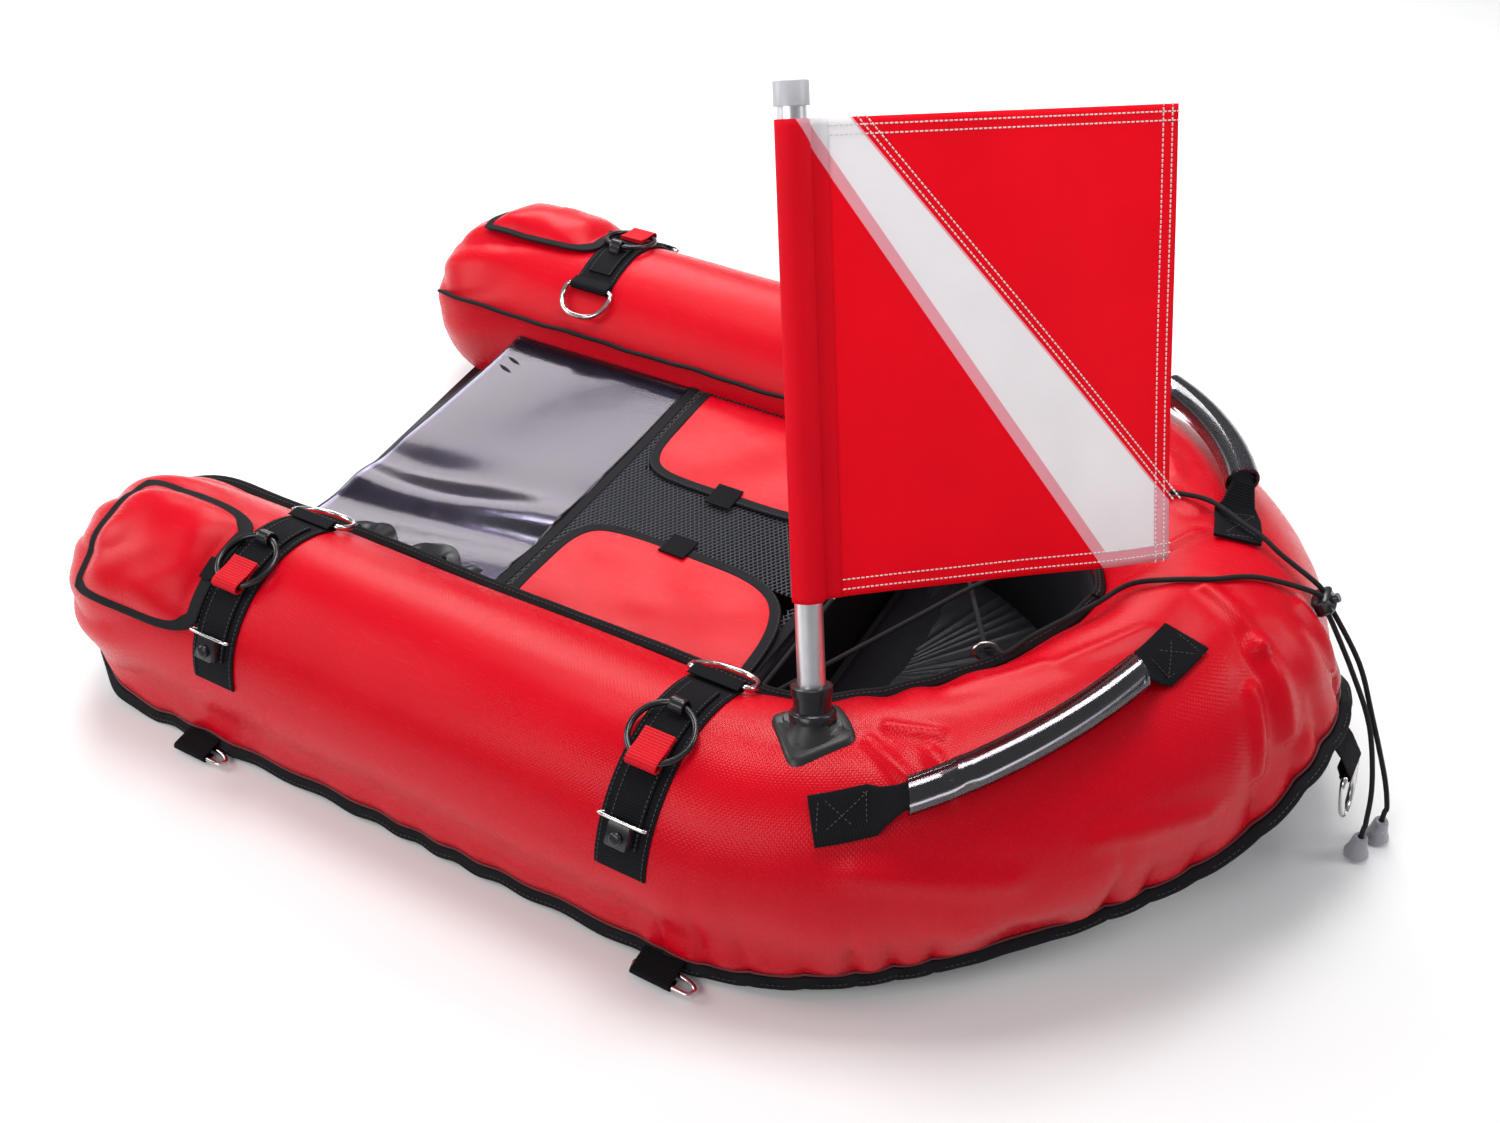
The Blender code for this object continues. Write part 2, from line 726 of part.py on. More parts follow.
def welt(side, label):
    """The standing seam along the tube's inner side, with the tab that holds the laced cord."""
    rows = []
    for rib in arm_ribs(side, (-0.16,))[2:] + bow_ribs(side, BOW_RIBS)[:-1]:
        rows.append([rib.point(WELT_ANGLE, 2 * GAP), rib.point(WELT_ANGLE, 0.0100)])
    tip = Rib(side, BOW_ARC)
    rows.append([tip.point(WELT_ANGLE, 2 * GAP) + Vector((0, side * 0.004, 0)),
                 tip.point(WELT_ANGLE, 0.0100) + Vector((0, side * 0.004, 0))])
    made = sheet("welt_" + label, rows, 0.0030, (BLACK_CLOTH, 0.45))
    rib = Rib(side, BOW_ARC * ANCHOR_RIB / BOW_RIBS)
    tab = band("anchor_" + label, [rib.point(WELT_ANGLE, 0.005), anchor(side)], ANCHOR_WIDTH, ANCHOR_WALL,
               (BLACK_CLOTH, 0.6), rib.outward.cross(Vector((0, 0, 1))))
    boolean(made, tab, "UNION")


def deck_sheet(name, first, last, finish):
    """A sheet between the arms that hangs a little in the middle."""
    edge = ARM_SPACING / 2 - math.sqrt(TUBE_RADIUS ** 2 - 0.0255 ** 2) - DECK_EDGE_GAP
    rows = []
    for x in (first, (first + last) / 2, last):
        row = []
        for k in range(13):
            v = k / 6 - 1
            row.append(Vector((x, edge * v, DECK_HEIGHT - DECK_SAG * (1 - v * v))))
        rows.append(row)
    sheet(name, rows, SHEET_WALL, finish)


def mesh_panel():
    """The mesh deck, with an opening under each lid."""
    edge = ARM_SPACING / 2 - math.sqrt(TUBE_RADIUS ** 2 - 0.0255 ** 2) - DECK_EDGE_GAP
    middle = (DECK_SPLIT_X + DECK_BOW_X) / 2 + LID_FORWARD
    half = LID_LENGTH / 2 - HATCH_MARGIN
    near_edge = LID_HINGE_Y - LID_REACH + HATCH_MARGIN
    far_edge = LID_HINGE_Y - HATCH_MARGIN / 2
    across = [edge, far_edge, (near_edge + far_edge) / 2, near_edge, near_edge / 2, 0.0]
    across = [-y for y in across] + [y for y in reversed(across[:-1])]
    rows = []
    for x in (DECK_SPLIT_X + GAP, middle - half, middle + half, DECK_BOW_X):
        rows.append([Vector((x, y, DECK_HEIGHT - DECK_SAG * (1 - (y / edge) ** 2))) for y in across])
    columns = len(across)
    open_quads = [columns - 1 + k for k in (1, 2, 7, 8)]
    faces = [f for k, f in enumerate(grid_faces(len(rows), columns)) if k not in open_quads]
    used = sorted({i for f in faces for i in f})
    points = [p for row in rows for p in row]
    made = link("mesh_panel", [points[i] for i in used], [tuple(used.index(i) for i in f) for f in faces],
                (BLACK_CLOTH, 0.8))
    thicken(made, SHEET_WALL, 0.0)


def lid(side, label):
    """A lid over the hold, hinged beside the arm, with a tab on its free edge."""
    hinge = Vector(((DECK_SPLIT_X + DECK_BOW_X) / 2 + LID_FORWARD, side * LID_HINGE_Y, DECK_HEIGHT + LID_LIFT))
    inward = Vector((0, -side * LID_REACH, -0.0050)).normalized()
    up = Vector((1, 0, 0)).cross(inward) * -side
    half = LID_LENGTH / 2
    corner = 0.022
    outline = [(-half, 0.0), (half, 0.0)]
    for k in range(6):
        turn = math.radians(90 * k / 5)
        outline.append((half - corner + corner * math.cos(turn), LID_REACH - corner + corner * math.sin(turn)))
    tab = -0.018
    for x, y in ((0.013, 0.0), (0.013, 0.009), (0.010, 0.012), (-0.010, 0.012), (-0.013, 0.009), (-0.013, 0.0)):
        outline.append((tab + x, LID_REACH + y))
    for k in range(6):
        turn = math.radians(90 + 90 * k / 5)
        outline.append((-half + corner + corner * math.cos(turn), LID_REACH - corner + corner * math.sin(turn)))
    points = []
    for height in (0.0, LID_WALL):
        points += [hinge + Vector((x, 0, 0)) + inward * y + up * height for x, y in outline]
    count = len(outline)
    faces = ring_faces(2, count, False) + [tuple(reversed(range(count))), tuple(range(count, 2 * count))]
    if side > 0:
        faces = [tuple(reversed(f)) for f in faces]
    link("lid_" + label, points, faces, (RED_PVC, 0.35))


def hold_wall():
    """The wall between the hold and the bow well."""
    x = DECK_BOW_X + 0.004
    rows = [[Vector((x, y, z)) for z in (0.0050, DECK_HEIGHT - 0.0080)] for y in (-0.163, 0.0, 0.163)]
    sheet("hold_wall", rows, SHEET_WALL, (BLACK_CLOTH, 0.6))


def well_liner():
    """The black lining of the bow well: down the tube's inner side and across the hull."""
    lift = Vector((0, 0, LINER_WALL / 2 + 3 * GAP))
    start = LINER_START_X - BOW_START_X
    near = [Rib(-1, start), Rib(-1, 0.0)] + bow_ribs(-1, BOW_RIBS)
    far = [Rib(1, start), Rib(1, 0.0)] + bow_ribs(1, BOW_RIBS)[:-1]
    rows = []
    for rib in near + list(reversed(far)):
        row = [rib.point(a, 0.0016) for a in (LINER_TOP_ANGLE, 8.0, -4.0)]
        pole = Vector((min(rib.centre.x, BOW_START_X), 0, HULL_WALL))
        edge = rib.point(BOTTOM_ANGLE, GAP) - pole
        foot = row[-1] - rib.outward * 0.003 - pole
        part = (foot.x * edge.x + foot.y * edge.y) / (edge.x ** 2 + edge.y ** 2)
        row.append(pole + edge * part + lift + Vector((0, 0, 0.010)))
        row.append(pole + edge * (part - 0.05) + lift)
        row.append(pole + edge * (part * 0.5) + lift)
        row.append(pole + lift)
        rows.append(row)
    points = []
    places = []
    for row in rows:
        for point in row:
            if point not in points:
                points.append(point)
            places.append(points.index(point))
    faces = []
    for quad in grid_faces(len(rows), len(rows[0])):
        joined = list(dict.fromkeys(places[i] for i in quad))
        if len(joined) > 2:
            faces.append(tuple(reversed(joined)))
    made = link("well_liner", points, faces, (BLACK_CLOTH, 0.35))
    thicken(made, LINER_WALL, 0.0)


# Gun straps


def along_skin(side, x, first, last, lift):
    """Points round the tube at x from one angle to another, at every corner of the section between them."""
    rib = Rib(side, x - BOW_START_X)
    inside = [a for a in rib.angles() if min(first, last) + 1.0 < a < max(first, last) - 1.0]
    if first > last:
        inside.reverse()
    return [skin(side, x - BOW_START_X, a, lift) for a in [first] + inside + [last]]


def local_path(place, pairs):
    """Points from (towards smaller angles, up) pairs in an arm frame."""
    return [place @ Vector((0, a, h)) for a, h in pairs]


def strap_patch(side, x, label):
    """The sewn webbing under a gun strap, looped round the D-ring's bar."""
    place = arm_frame(side, x, RING_ANGLE, 0.0)
    loop = arc((0.0, RING_BAR_LIFT), RING_LOOP_RADIUS, -90, 130, 7)
    path = along_skin(side, x, PATCH_LOW_ANGLE, PATCH_TOP_ANGLE, 0.0010)
    path += local_path(place, loop + [(-0.0100, RING_BAR_LIFT - 0.0014)])
    band("strap_patch_" + label, path, PATCH_WIDTH, WEBBING, (BLACK_CLOTH, 0.6), Vector((1, 0, 0)))


def d_ring(side, x, label, tilt):
    """The D-ring at the top of a gun strap."""
    place = arm_frame(side, x, RING_ANGLE, RING_BAR_LIFT)
    lean = math.radians(tilt)
    towards = Vector((0, math.cos(lean), math.sin(lean)))
    path = []
    for a, b in d_path((D_RING_WIDTH - D_RING_WIRE) / 2, D_RING_DEPTH - D_RING_WIRE, 0.0045, 5):
        path.append(place @ (Vector((a, 0, 0)) + towards * b))
    up = (place.to_3x3() @ Vector((1, 0, 0)).cross(towards)).normalized()
    wire("d_ring_" + label, path, 8, D_RING_WIRE / 2, (STEEL, 0.25, 1.0), up)


def gun_strap(side, x, label):
    """A gun strap with the two hooks that are sewn on it."""
    path = along_skin(side, x, GUN_STRAP_TOP_ANGLE, GUN_STRAP_LOW_ANGLE, 0.0028)
    made = band("gun_strap_" + label, path, GUN_STRAP_WIDTH, GUN_STRAP_WALL, (BLACK_CLOTH, 0.5), Vector((1, 0, 0)))
    pivot = GUN_RING_PIVOT_LIFT
    shape = ((0.0065, 0.0026), (0.0060, pivot - 0.0029), (0.0044, pivot + 0.0016), (0.0, pivot + 0.0046),
             (-0.0042, pivot + 0.0030), (-0.0056, pivot - 0.0009), (-0.0054, pivot - 0.0034))
    upper = arm_frame(side, x, GUN_RING_PIVOT_ANGLE, 0.0)
    hook = band("hook_upper_" + label, local_path(upper, shape), HOOK_WIDTH, HOOK_WALL, (STEEL, 0.2, 1.0),
                Vector((1, 0, 0)))
    boolean(made, hook, "UNION")
    lower = arm_frame(side, x, HOOK_LOW_ANGLE, 0.0)
    hook = band("hook_lower_" + label, local_path(lower, [(-a, h) for a, h in shape]), HOOK_WIDTH, HOOK_WALL,
                (STEEL, 0.2, 1.0), Vector((1, 0, 0)))
    boolean(made, hook, "UNION")


def gun_ring(side, x, label):
    """The round ring that hangs in a gun strap's upper hook, and its pull tab."""
    place = arm_frame(side, x, GUN_RING_ANGLE, GUN_RING_LIFT)
    major = (GUN_RING_OUTER - GUN_RING_WIRE) / 2
    path = [place @ Vector((major * math.cos(math.tau * k / 20), major * math.sin(math.tau * k / 20), 0))
            for k in range(20)]
    up = (place.to_3x3() @ Vector((0, 0, 1))).normalized()
    wire("gun_ring_" + label, path, 8, GUN_RING_WIRE / 2, (BLACK_RUBBER, 0.3), up)
    low = 2 * major
    shape = ((major, 0.0010), (low - 0.0090, 0.0010), (low - 0.0060, 0.0036), (low + 0.0035, 0.0036),
             (low + 0.0048, 0.0020), (low + 0.0048, -0.0020), (low + 0.0035, -0.0036), (low - 0.0060, -0.0036),
             (low - 0.0090, -0.0010), (major, -0.0010))
    band("pull_tab_" + label, local_path(place, [(major - a, h) for a, h in shape]), TAB_WIDTH, WEBBING,
         (RED_PVC, 0.6), Vector((1, 0, 0)))


# Carrying handles


def handle_angle(along):
    """How far round the tube the handle lies, at a length along the bow."""
    return HANDLE_ANGLE_FROM + (HANDLE_ANGLE_TO - HANDLE_ANGLE_FROM) * (along - HANDLE_FROM) / (HANDLE_TO - HANDLE_FROM)


def handle_rows(side):
    """The webbing of a handle as rows of points: a sewn patch, the stretch in the hose and another patch."""
    middle = (HANDLE_PATCH + HANDLE_WEB_WIDTH) / 2
    low = 0.0026

    def row(along, lift, width, flat):
        angle = handle_angle(along)
        steps = (-0.5, -0.25, 0.0, 0.25, 0.5)
        if flat:
            tangent = Rib(side, along).direction(angle + 90)
            return [skin(side, along, angle, lift) + tangent * (width * v) for v in steps]
        return [skin(side, along, angle + math.degrees(width * v / TUBE_RADIUS), lift) for v in steps]

    rows = [row(HANDLE_FROM - 0.052 + 0.036 * k / 4, low, HANDLE_PATCH, False) for k in range(5)]
    rows.append(row(HANDLE_FROM - 0.011, low + 0.004, middle, True))
    for k in range(9):
        rows.append(row(HANDLE_FROM + (HANDLE_TO - HANDLE_FROM) * k / 8, HANDLE_LIFT, HANDLE_WEB_WIDTH, True))
    rows.append(row(HANDLE_TO + 0.011, low + 0.004, middle, True))
    return rows + [row(HANDLE_TO + 0.016 + 0.036 * k / 4, low, HANDLE_PATCH, False) for k in range(5)]


def handle(side, label):
    """A strip of webbing in a hose, sewn to the bow at both ends."""
    sheet("handle_webbing_" + label, handle_rows(side), HANDLE_WEB_WALL, (BLACK_CLOTH, 0.6))
    sides = 14
    points = []
    for k in range(9):
        along = HANDLE_FROM + 0.004 + (HANDLE_TO - HANDLE_FROM - 0.008) * k / 8
        rib = Rib(side, along)
        middle = skin(side, along, handle_angle(along), HANDLE_LIFT)
        out = rib.direction(handle_angle(along))
        tangent = rib.direction(handle_angle(along) + 90)
        for j in range(sides):
            turn = math.tau * j / sides
            points.append(middle + (tangent * math.cos(turn) + out * math.sin(turn)) * GRIP_RADIUS)
    made = link("handle_grip_" + label, points, ring_faces(9, sides, False), (BLACK_RUBBER, 0.3))
    thicken(made, GRIP_WALL, 1.0 if side < 0 else -1.0)


# Mast and flag


def mast_frame(height=0.0):
    """Z along the mast; X towards the flag's fly."""
    lean = MAST_LEAN.normalized()
    return frame_at(MAST_FOOT + lean * height, FLAG_DIRECTION, lean)


def plate_corners():
    """The mast base's rounded square, as rows of points on the plane through the mast's foot."""
    place = mast_frame()
    size = 10
    rows = []
    for i in range(size + 1):
        row = []
        for j in range(size + 1):
            a = 2 * i / size - 1
            b = 2 * j / size - 1
            reach = max(abs(a), abs(b))
            pull = reach / (abs(a) ** 6 + abs(b) ** 6) ** (1 / 6) if reach > 0 else 1.0
            row.append(place @ Vector((a * pull * BASE_PLATE / 2, b * pull * BASE_PLATE / 2, 0.0)))
        rows.append(row)
    return rows


def seat_heights(rows):
    """How far the cover lies above each of the plate's points, along the mast."""
    lean = MAST_LEAN.normalized()
    heights = []
    for row in rows:
        hits = [COVER_TREE.ray_cast(point + lean * 0.06, -lean)[0] for point in row]
        heights.append([(hit - point).dot(lean) for hit, point in zip(hits, row)])
    return heights


PLATE_TOP = max(max(row) for row in seat_heights(plate_corners())) + BASE_PLATE_WALL
SOCKET_FLOOR = PLATE_TOP - BASE_PLATE_WALL / 2


def mast_base():
    """The rubber plate that is glued to the bow, with the mast's socket."""
    place = mast_frame()
    lean = MAST_LEAN.normalized()
    rows = plate_corners()
    size = len(rows)
    top = [point + lean * PLATE_TOP for row in rows for point in row]
    under = []
    for row, heights in zip(rows, seat_heights(rows)):
        under += [point + lean * (height + 2 * GAP) for point, height in zip(row, heights)]
    count = size * size
    faces = grid_faces(size, size)
    edge = [k for k in range(size - 1)] + [size - 1 + k * size for k in range(size - 1)]
    edge += [count - 1 - k for k in range(size - 1)] + [count - size - k * size for k in range(size - 1)]
    walls = []
    for k, here in enumerate(edge):
        after = edge[(k + 1) % len(edge)]
        walls.append((here, after, after + count, here + count))
    above = [tuple(reversed(f)) for f in faces]
    below = [tuple(i + count for i in f) for f in faces]
    made = link("mast_base", top + under, above + below + walls, (BLACK_RUBBER, 0.4))
    bore = MAST_RADIUS + MAST_CLEARANCE
    outer = bore + SOCKET_WALL
    rim = PLATE_TOP + SOCKET_HEIGHT
    cup = [(outer, SOCKET_FLOOR), (outer, rim), (bore, rim), (bore, PLATE_TOP + 0.001)]
    boolean(made, turned("socket", cup, 20, (BLACK_RUBBER, 0.4), place, closed=False), "UNION")
    boolean(made, rod("socket_bore", place, SOCKET_FLOOR, rim + 0.01, bore, 20), "DIFFERENCE")


def mast():
    """The tubular mast and its cap."""
    place = mast_frame()
    inner = MAST_RADIUS - MAST_WALL
    foot = SOCKET_FLOOR + MAST_CLEARANCE
    profile = [(inner, foot), (MAST_RADIUS, foot), (MAST_RADIUS, MAST_TOP), (inner, MAST_TOP)]
    turned("mast", profile, 16, ((0.75, 0.75, 0.76), 0.3), place)
    hole = MAST_RADIUS + MAST_CLEARANCE
    ceiling = MAST_TOP + MAST_CLEARANCE
    brim = ceiling + CAP_WALL - CAP_HEIGHT
    outline = [(hole, ceiling), (hole, brim), (hole + CAP_WALL, brim), (hole + CAP_WALL, ceiling + CAP_WALL - 0.0010),
               (hole + CAP_WALL - 0.0010, ceiling + CAP_WALL)]
    turned("mast_cap", outline, 16, (PALE_PLASTIC, 0.4), place, closed=False)


def flag():
    """The divers' flag, with a sleeve that turns on the mast."""
    place = mast_frame()
    inner = MAST_RADIUS + 2 * MAST_CLEARANCE
    outer = inner + FLAG_WALL
    profile = [(inner, FLAG_LOW), (outer, FLAG_LOW), (outer, FLAG_LOW + FLAG_HEIGHT), (inner, FLAG_LOW + FLAG_HEIGHT)]
    made = turned("flag", profile, 16, ((0.80, 0.010, 0.020), 0.7), place)
    start = (inner + outer) / 2
    points = []
    for y in (-FLAG_WALL / 2, FLAG_WALL / 2):
        for x, z in ((start, FLAG_LOW), (FLAG_WIDTH, FLAG_LOW), (FLAG_WIDTH, FLAG_LOW + FLAG_HEIGHT),
                     (start, FLAG_LOW + FLAG_HEIGHT)):
            points.append(place @ Vector((x, y, z)))
    faces = [(0, 1, 2, 3), (7, 6, 5, 4), (1, 0, 4, 5), (2, 1, 5, 6), (3, 2, 6, 7), (0, 3, 7, 4)]
    boolean(made, link("flag_cloth", points, faces, (RED_PVC, 0.7)), "UNION")


# Cords, lock and bells


def lock_frame():
    """The lock's place on the bow: Z out of the tube, X down the cords."""
    near, normal = COVER_TREE.find_nearest(LOCK_NEAR_TO)[:2]
    centre = near + normal * (LOCK_HEIGHT / 2 + 0.0016)
    return frame_at(centre, Vector((0.76, 0, -0.65)), normal)


def round_the_tube(point):
    """The angle of a point round the bow's section that is nearest to it."""
    side = -1 if point.y < 0 else 1
    best = min((Rib(side, BOW_ARC * k / 60) for k in range(61)),
               key=lambda rib: (Vector((point.x, point.y, 0)) - Vector((rib.centre.x, rib.centre.y, 0))).length)
    away = point - best.centre
    return math.degrees(math.atan2(away.z, -away.dot(best.outward)))


def rest_on_skin(path, lift):
    """Moves the points of a path that are too near the cover out to a lift above it, or over the welt or a patch."""
    made = []
    patches = [p for side in (-1, 1) for row in handle_rows(side) for p in row]
    for point in path:
        near, normal = COVER_TREE.find_nearest(point)[:2]
        over_welt = 0.0130 * math.exp(-((round_the_tube(point) - WELT_ANGLE) / 6.0) ** 4)
        over_patch = 0.0060 if min((point - p).length for p in patches) < 0.014 else 0.0
        wanted = lift + max(over_welt, over_patch)
        if (point - near).dot(normal) < wanted:
            point = near + normal * wanted
        made.append(point)
    return made


def cord_tail(label, before, after, bell, offset):
    """A tail from a front anchor through the lock to its bell."""
    place = lock_frame()
    through = [place @ Vector((x, offset, 0)) for x in (-0.0130, -0.0065, 0.0, 0.0065, 0.0130)]
    hang = [Vector((bell[0], bell[1], z)) for z in (0.040, 0.031, 0.013)]
    lead = rest_on_skin(smooth_path(before + [through[0]], CORD_STEPS), CORD_RADIUS + 0.0010)
    tail = smooth_path([through[-1]] + after + hang, CORD_STEPS - 1)
    straight = len(tail) - 2 * (CORD_STEPS - 1)
    path = lead[:-1] + through + tail[1:straight] + hang[1:]
    return cord("cord_tail_" + label, path, 6, CORD_RADIUS, (BLACK_CLOTH, 0.6))


def tails():
    """Both tails and their bells."""
    starts = [anchor(side) - anchor_way(side) * 0.003 + Vector((0, 0, 0.0048)) for side in (-1, 1)]
    far = [starts[1]] + [Vector(p) for p in ((0.2900, 0.0850, 0.1900), (0.3220, 0.1010, 0.2150),
                               (0.3460, 0.1000, 0.2210), (0.3720, 0.0890, 0.2260), (0.4060, 0.0690, 0.2280),
                               (0.4340, 0.0600, 0.2220))]
    near = [starts[0]] + [Vector(p) for p in ((0.2770, -0.0900, 0.1850), (0.2910, -0.0800, 0.2000),
                                (0.3160, -0.0550, 0.2120), (0.3300, -0.0220, 0.2140), (0.3560, -0.0100, 0.2220),
                                (0.3820, -0.0020, 0.2310), (0.4080, 0.0110, 0.2330), (0.4300, 0.0280, 0.2290))]
    cord_tail("far", far, [Vector((0.5060, 0.0560, 0.150)), Vector((0.5260, 0.0480, 0.110)),
                           Vector((0.5480, 0.0360, 0.065))], (0.557, 0.030), LOCK_BORE_OFFSET)
    cord_tail("near", near, [Vector((0.5040, 0.0440, 0.150)), Vector((0.5270, 0.0360, 0.110)),
                             Vector((0.5420, 0.0230, 0.065))], (0.547, 0.006), -LOCK_BORE_OFFSET)
    for label, x, y in (("far", 0.557, 0.030), ("near", 0.547, 0.006)):
        bore = CORD_RADIUS + 0.0006
        profile = [(bore, BELL_HEIGHT), (bore, BELL_HEIGHT - 0.0035), (BELL_RADIUS - 0.0018, BELL_HEIGHT - 0.0070),
                   (BELL_RADIUS - 0.0015, 0.0), (BELL_RADIUS, 0.0), (BELL_RADIUS, BELL_HEIGHT - 0.0080),
                   (BELL_RADIUS - 0.0025, BELL_HEIGHT - 0.0020), (BELL_RADIUS - 0.0050, BELL_HEIGHT)]
        turned("cord_bell_" + label, profile, 16, ((0.30, 0.29, 0.31), 0.4), Matrix.Translation((x, y, 0.0020)))


def lacing():
    """The laced cord: two stretches that cross over the well and one along the hold's wall."""
    off_liner = 0.0016 + LINER_WALL / 2 + GAP + CORD_RADIUS
    rear = Rib(1, LACING_REAR_X - BOW_START_X).point(LACING_REAR_ANGLE, off_liner)
    front = anchor(1) + anchor_way(1) * 0.0024

    def flip(point):
        return Vector((point.x, -point.y, point.z))

    def cross(part, lift):
        made = front.lerp(flip(rear), part)
        return made + Vector((0, 0, lift))

    route = [front, cross(0.15, 0.0010), cross(0.30, 0.0034), cross(0.50, 0.0020), cross(0.90, 0.0)]
    route += [flip(rear), flip(rear) + Vector((-0.006, 0.008, 0)), flip(rear) + Vector((-0.0065, 0.040, -0.001))]
    route.append(Vector((rear.x - 0.0065, 0, rear.z - 0.003)))
    route += [rear + Vector((-0.0065, -0.040, -0.001)), rear + Vector((-0.006, -0.008, 0)), rear]
    back = [cross(0.90, 0.0), cross(0.50, -0.0020), cross(0.30, -0.0034), cross(0.15, -0.0010), front]
    route += [flip(p) for p in back]
    cord("lacing_cord", smooth_path(route, 3), 6, CORD_RADIUS, (BLACK_CLOTH, 0.6))


def cord_lock():
    """The lock that grips both tails, and its sprung button."""
    place = lock_frame()
    half = Vector((LOCK_LENGTH / 2, LOCK_WIDTH / 2, LOCK_HEIGHT / 2))
    chamfer = 0.004
    outline = []
    for y, z in ((1, 1), (-1, 1), (-1, -1), (1, -1)):
        first = (y * (half.y - chamfer), z * half.z)
        second = (y * half.y, z * (half.z - chamfer))
        outline += [second, first] if y * z > 0 else [first, second]
    points = [place @ Vector((x, y, z)) for x in (-half.x, half.x) for y, z in outline]
    count = len(outline)
    faces = ring_faces(2, count, False) + [tuple(reversed(range(count))), tuple(range(count, 2 * count))]
    made = link("cord_lock", points, faces, (BLACK_RUBBER, 0.3))
    turn = Matrix.Rotation(math.radians(90), 4, "Y")
    for offset, label in ((LOCK_BORE_OFFSET, "far"), (-LOCK_BORE_OFFSET, "near")):
        bore = place @ Matrix.Translation((0, offset, 0)) @ turn
        boolean(made, rod("bore_" + label, bore, -0.02, 0.02, LOCK_BORE_RADIUS, 12), "DIFFERENCE")
    floor = LOCK_BORE_RADIUS + 0.0005
    boolean(made, rod("pocket", place, floor, 0.02, LOCK_BUTTON_RADIUS + GAP, 16), "DIFFERENCE")
    low = floor + LOCK_BUTTON_TRAVEL + GAP
    rod("lock_button", place, low, low + 0.0055, LOCK_BUTTON_RADIUS, 16, (BLACK_RUBBER, 0.3))


def build():
    """Makes every piece."""
    for old in list(bpy.data.objects):
        bpy.data.objects.remove(old)
    cover()
    hull()
    binding()
    well_liner()
    hold_wall()
    deck_sheet("deck_window", DECK_STERN_X, DECK_SPLIT_X - GAP, ((0.6, 0.62, 0.66), 0.15))
    mesh_panel()
    for side, label in ((-1, "near"), (1, "far")):
        bladder(side, label)
        valve(side, label)
        valve_flap(side, label)
        welt(side, label)
        lid(side, label)
        for x, place, tilt in ((STRAP_STERN_X, "stern", 0.0), (STRAP_BOW_X, "bow", BOW_RING_TILT)):
            strap_patch(side, x, label + "_" + place)
            d_ring(side, x, label + "_" + place, tilt)
            gun_strap(side, x, label + "_" + place)
            gun_ring(side, x, label + "_" + place)
        handle(side, label)
        lash_ring(side, LASH_STERN_X, label + "_stern")
        lash_ring(side, LASH_BOW_X, label + "_bow")
    tow_ring()
    mast_base()
    mast()
    flag()
    lacing()
    cord_lock()
    tails()


build()
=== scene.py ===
import math

import bpy
import numpy as np
from mathutils import Matrix, Vector
from mathutils.bvhtree import BVHTree


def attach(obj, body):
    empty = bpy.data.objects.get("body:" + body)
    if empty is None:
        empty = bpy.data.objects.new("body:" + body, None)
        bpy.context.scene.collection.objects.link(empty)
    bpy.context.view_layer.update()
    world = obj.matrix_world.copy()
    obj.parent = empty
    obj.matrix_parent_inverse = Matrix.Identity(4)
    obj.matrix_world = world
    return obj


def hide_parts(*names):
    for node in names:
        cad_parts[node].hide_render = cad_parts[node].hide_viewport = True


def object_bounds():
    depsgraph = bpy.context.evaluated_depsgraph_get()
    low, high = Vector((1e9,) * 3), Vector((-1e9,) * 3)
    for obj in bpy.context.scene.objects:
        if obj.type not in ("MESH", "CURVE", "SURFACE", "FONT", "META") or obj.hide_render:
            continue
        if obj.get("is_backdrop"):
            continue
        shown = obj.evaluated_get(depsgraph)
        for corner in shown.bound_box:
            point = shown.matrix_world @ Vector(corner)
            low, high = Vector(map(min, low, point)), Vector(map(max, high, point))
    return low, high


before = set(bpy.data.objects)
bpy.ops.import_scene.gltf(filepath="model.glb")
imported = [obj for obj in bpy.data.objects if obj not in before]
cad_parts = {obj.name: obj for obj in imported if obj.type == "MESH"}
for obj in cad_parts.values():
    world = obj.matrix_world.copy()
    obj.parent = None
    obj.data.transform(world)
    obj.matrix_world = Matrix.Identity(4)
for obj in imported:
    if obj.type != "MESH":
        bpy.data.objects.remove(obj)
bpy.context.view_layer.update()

# Camera, studio light and floor.
# The float stands on a white table in a white room. Six soft lights stand round it: one overhead, one behind,
# one at each end, a long strip over the far side and a wide one in front.


def wire(tree, node, inputs):
    """Gives a node's inputs plain values, or links them to other nodes' outputs."""
    for name, value in inputs.items():
        if isinstance(value, bpy.types.NodeSocket):
            tree.links.new(value, node.inputs[name])
        else:
            node.inputs[name].default_value = value


def add(tree, kind, inputs=None, **settings):
    """Adds a node with its settings and inputs."""
    made = tree.nodes.new(kind)
    for name, value in settings.items():
        setattr(made, name, value)
    wire(tree, made, inputs or {})
    return made


def calc(tree, operation, *values):
    """The output of a Math node."""
    return add(tree, "ShaderNodeMath", dict(enumerate(values)), operation=operation).outputs[0]


scene = bpy.context.scene
scene.view_settings.view_transform = "Standard"
lens = bpy.data.cameras.new("camera")
lens.lens = 37.81
lens.sensor_width = 36
lens.clip_end = 60
camera = bpy.data.objects.new("camera", lens)
scene.collection.objects.link(camera)
scene.camera = camera
azimuth, elevation, roll = math.radians(32.31), math.radians(41.49), math.radians(-3.17)
back = Vector((math.sin(azimuth) * math.cos(elevation), -math.cos(azimuth) * math.cos(elevation),
               math.sin(elevation)))
level = Vector((math.cos(azimuth), math.sin(azimuth), 0))
right = level * math.cos(roll) + back.cross(level) * math.sin(roll)
turned_view = Matrix((right, back.cross(right), back)).transposed()
camera.matrix_world = Matrix.Translation((0.5617, -0.8882, 1.0195)) @ turned_view.to_4x4()

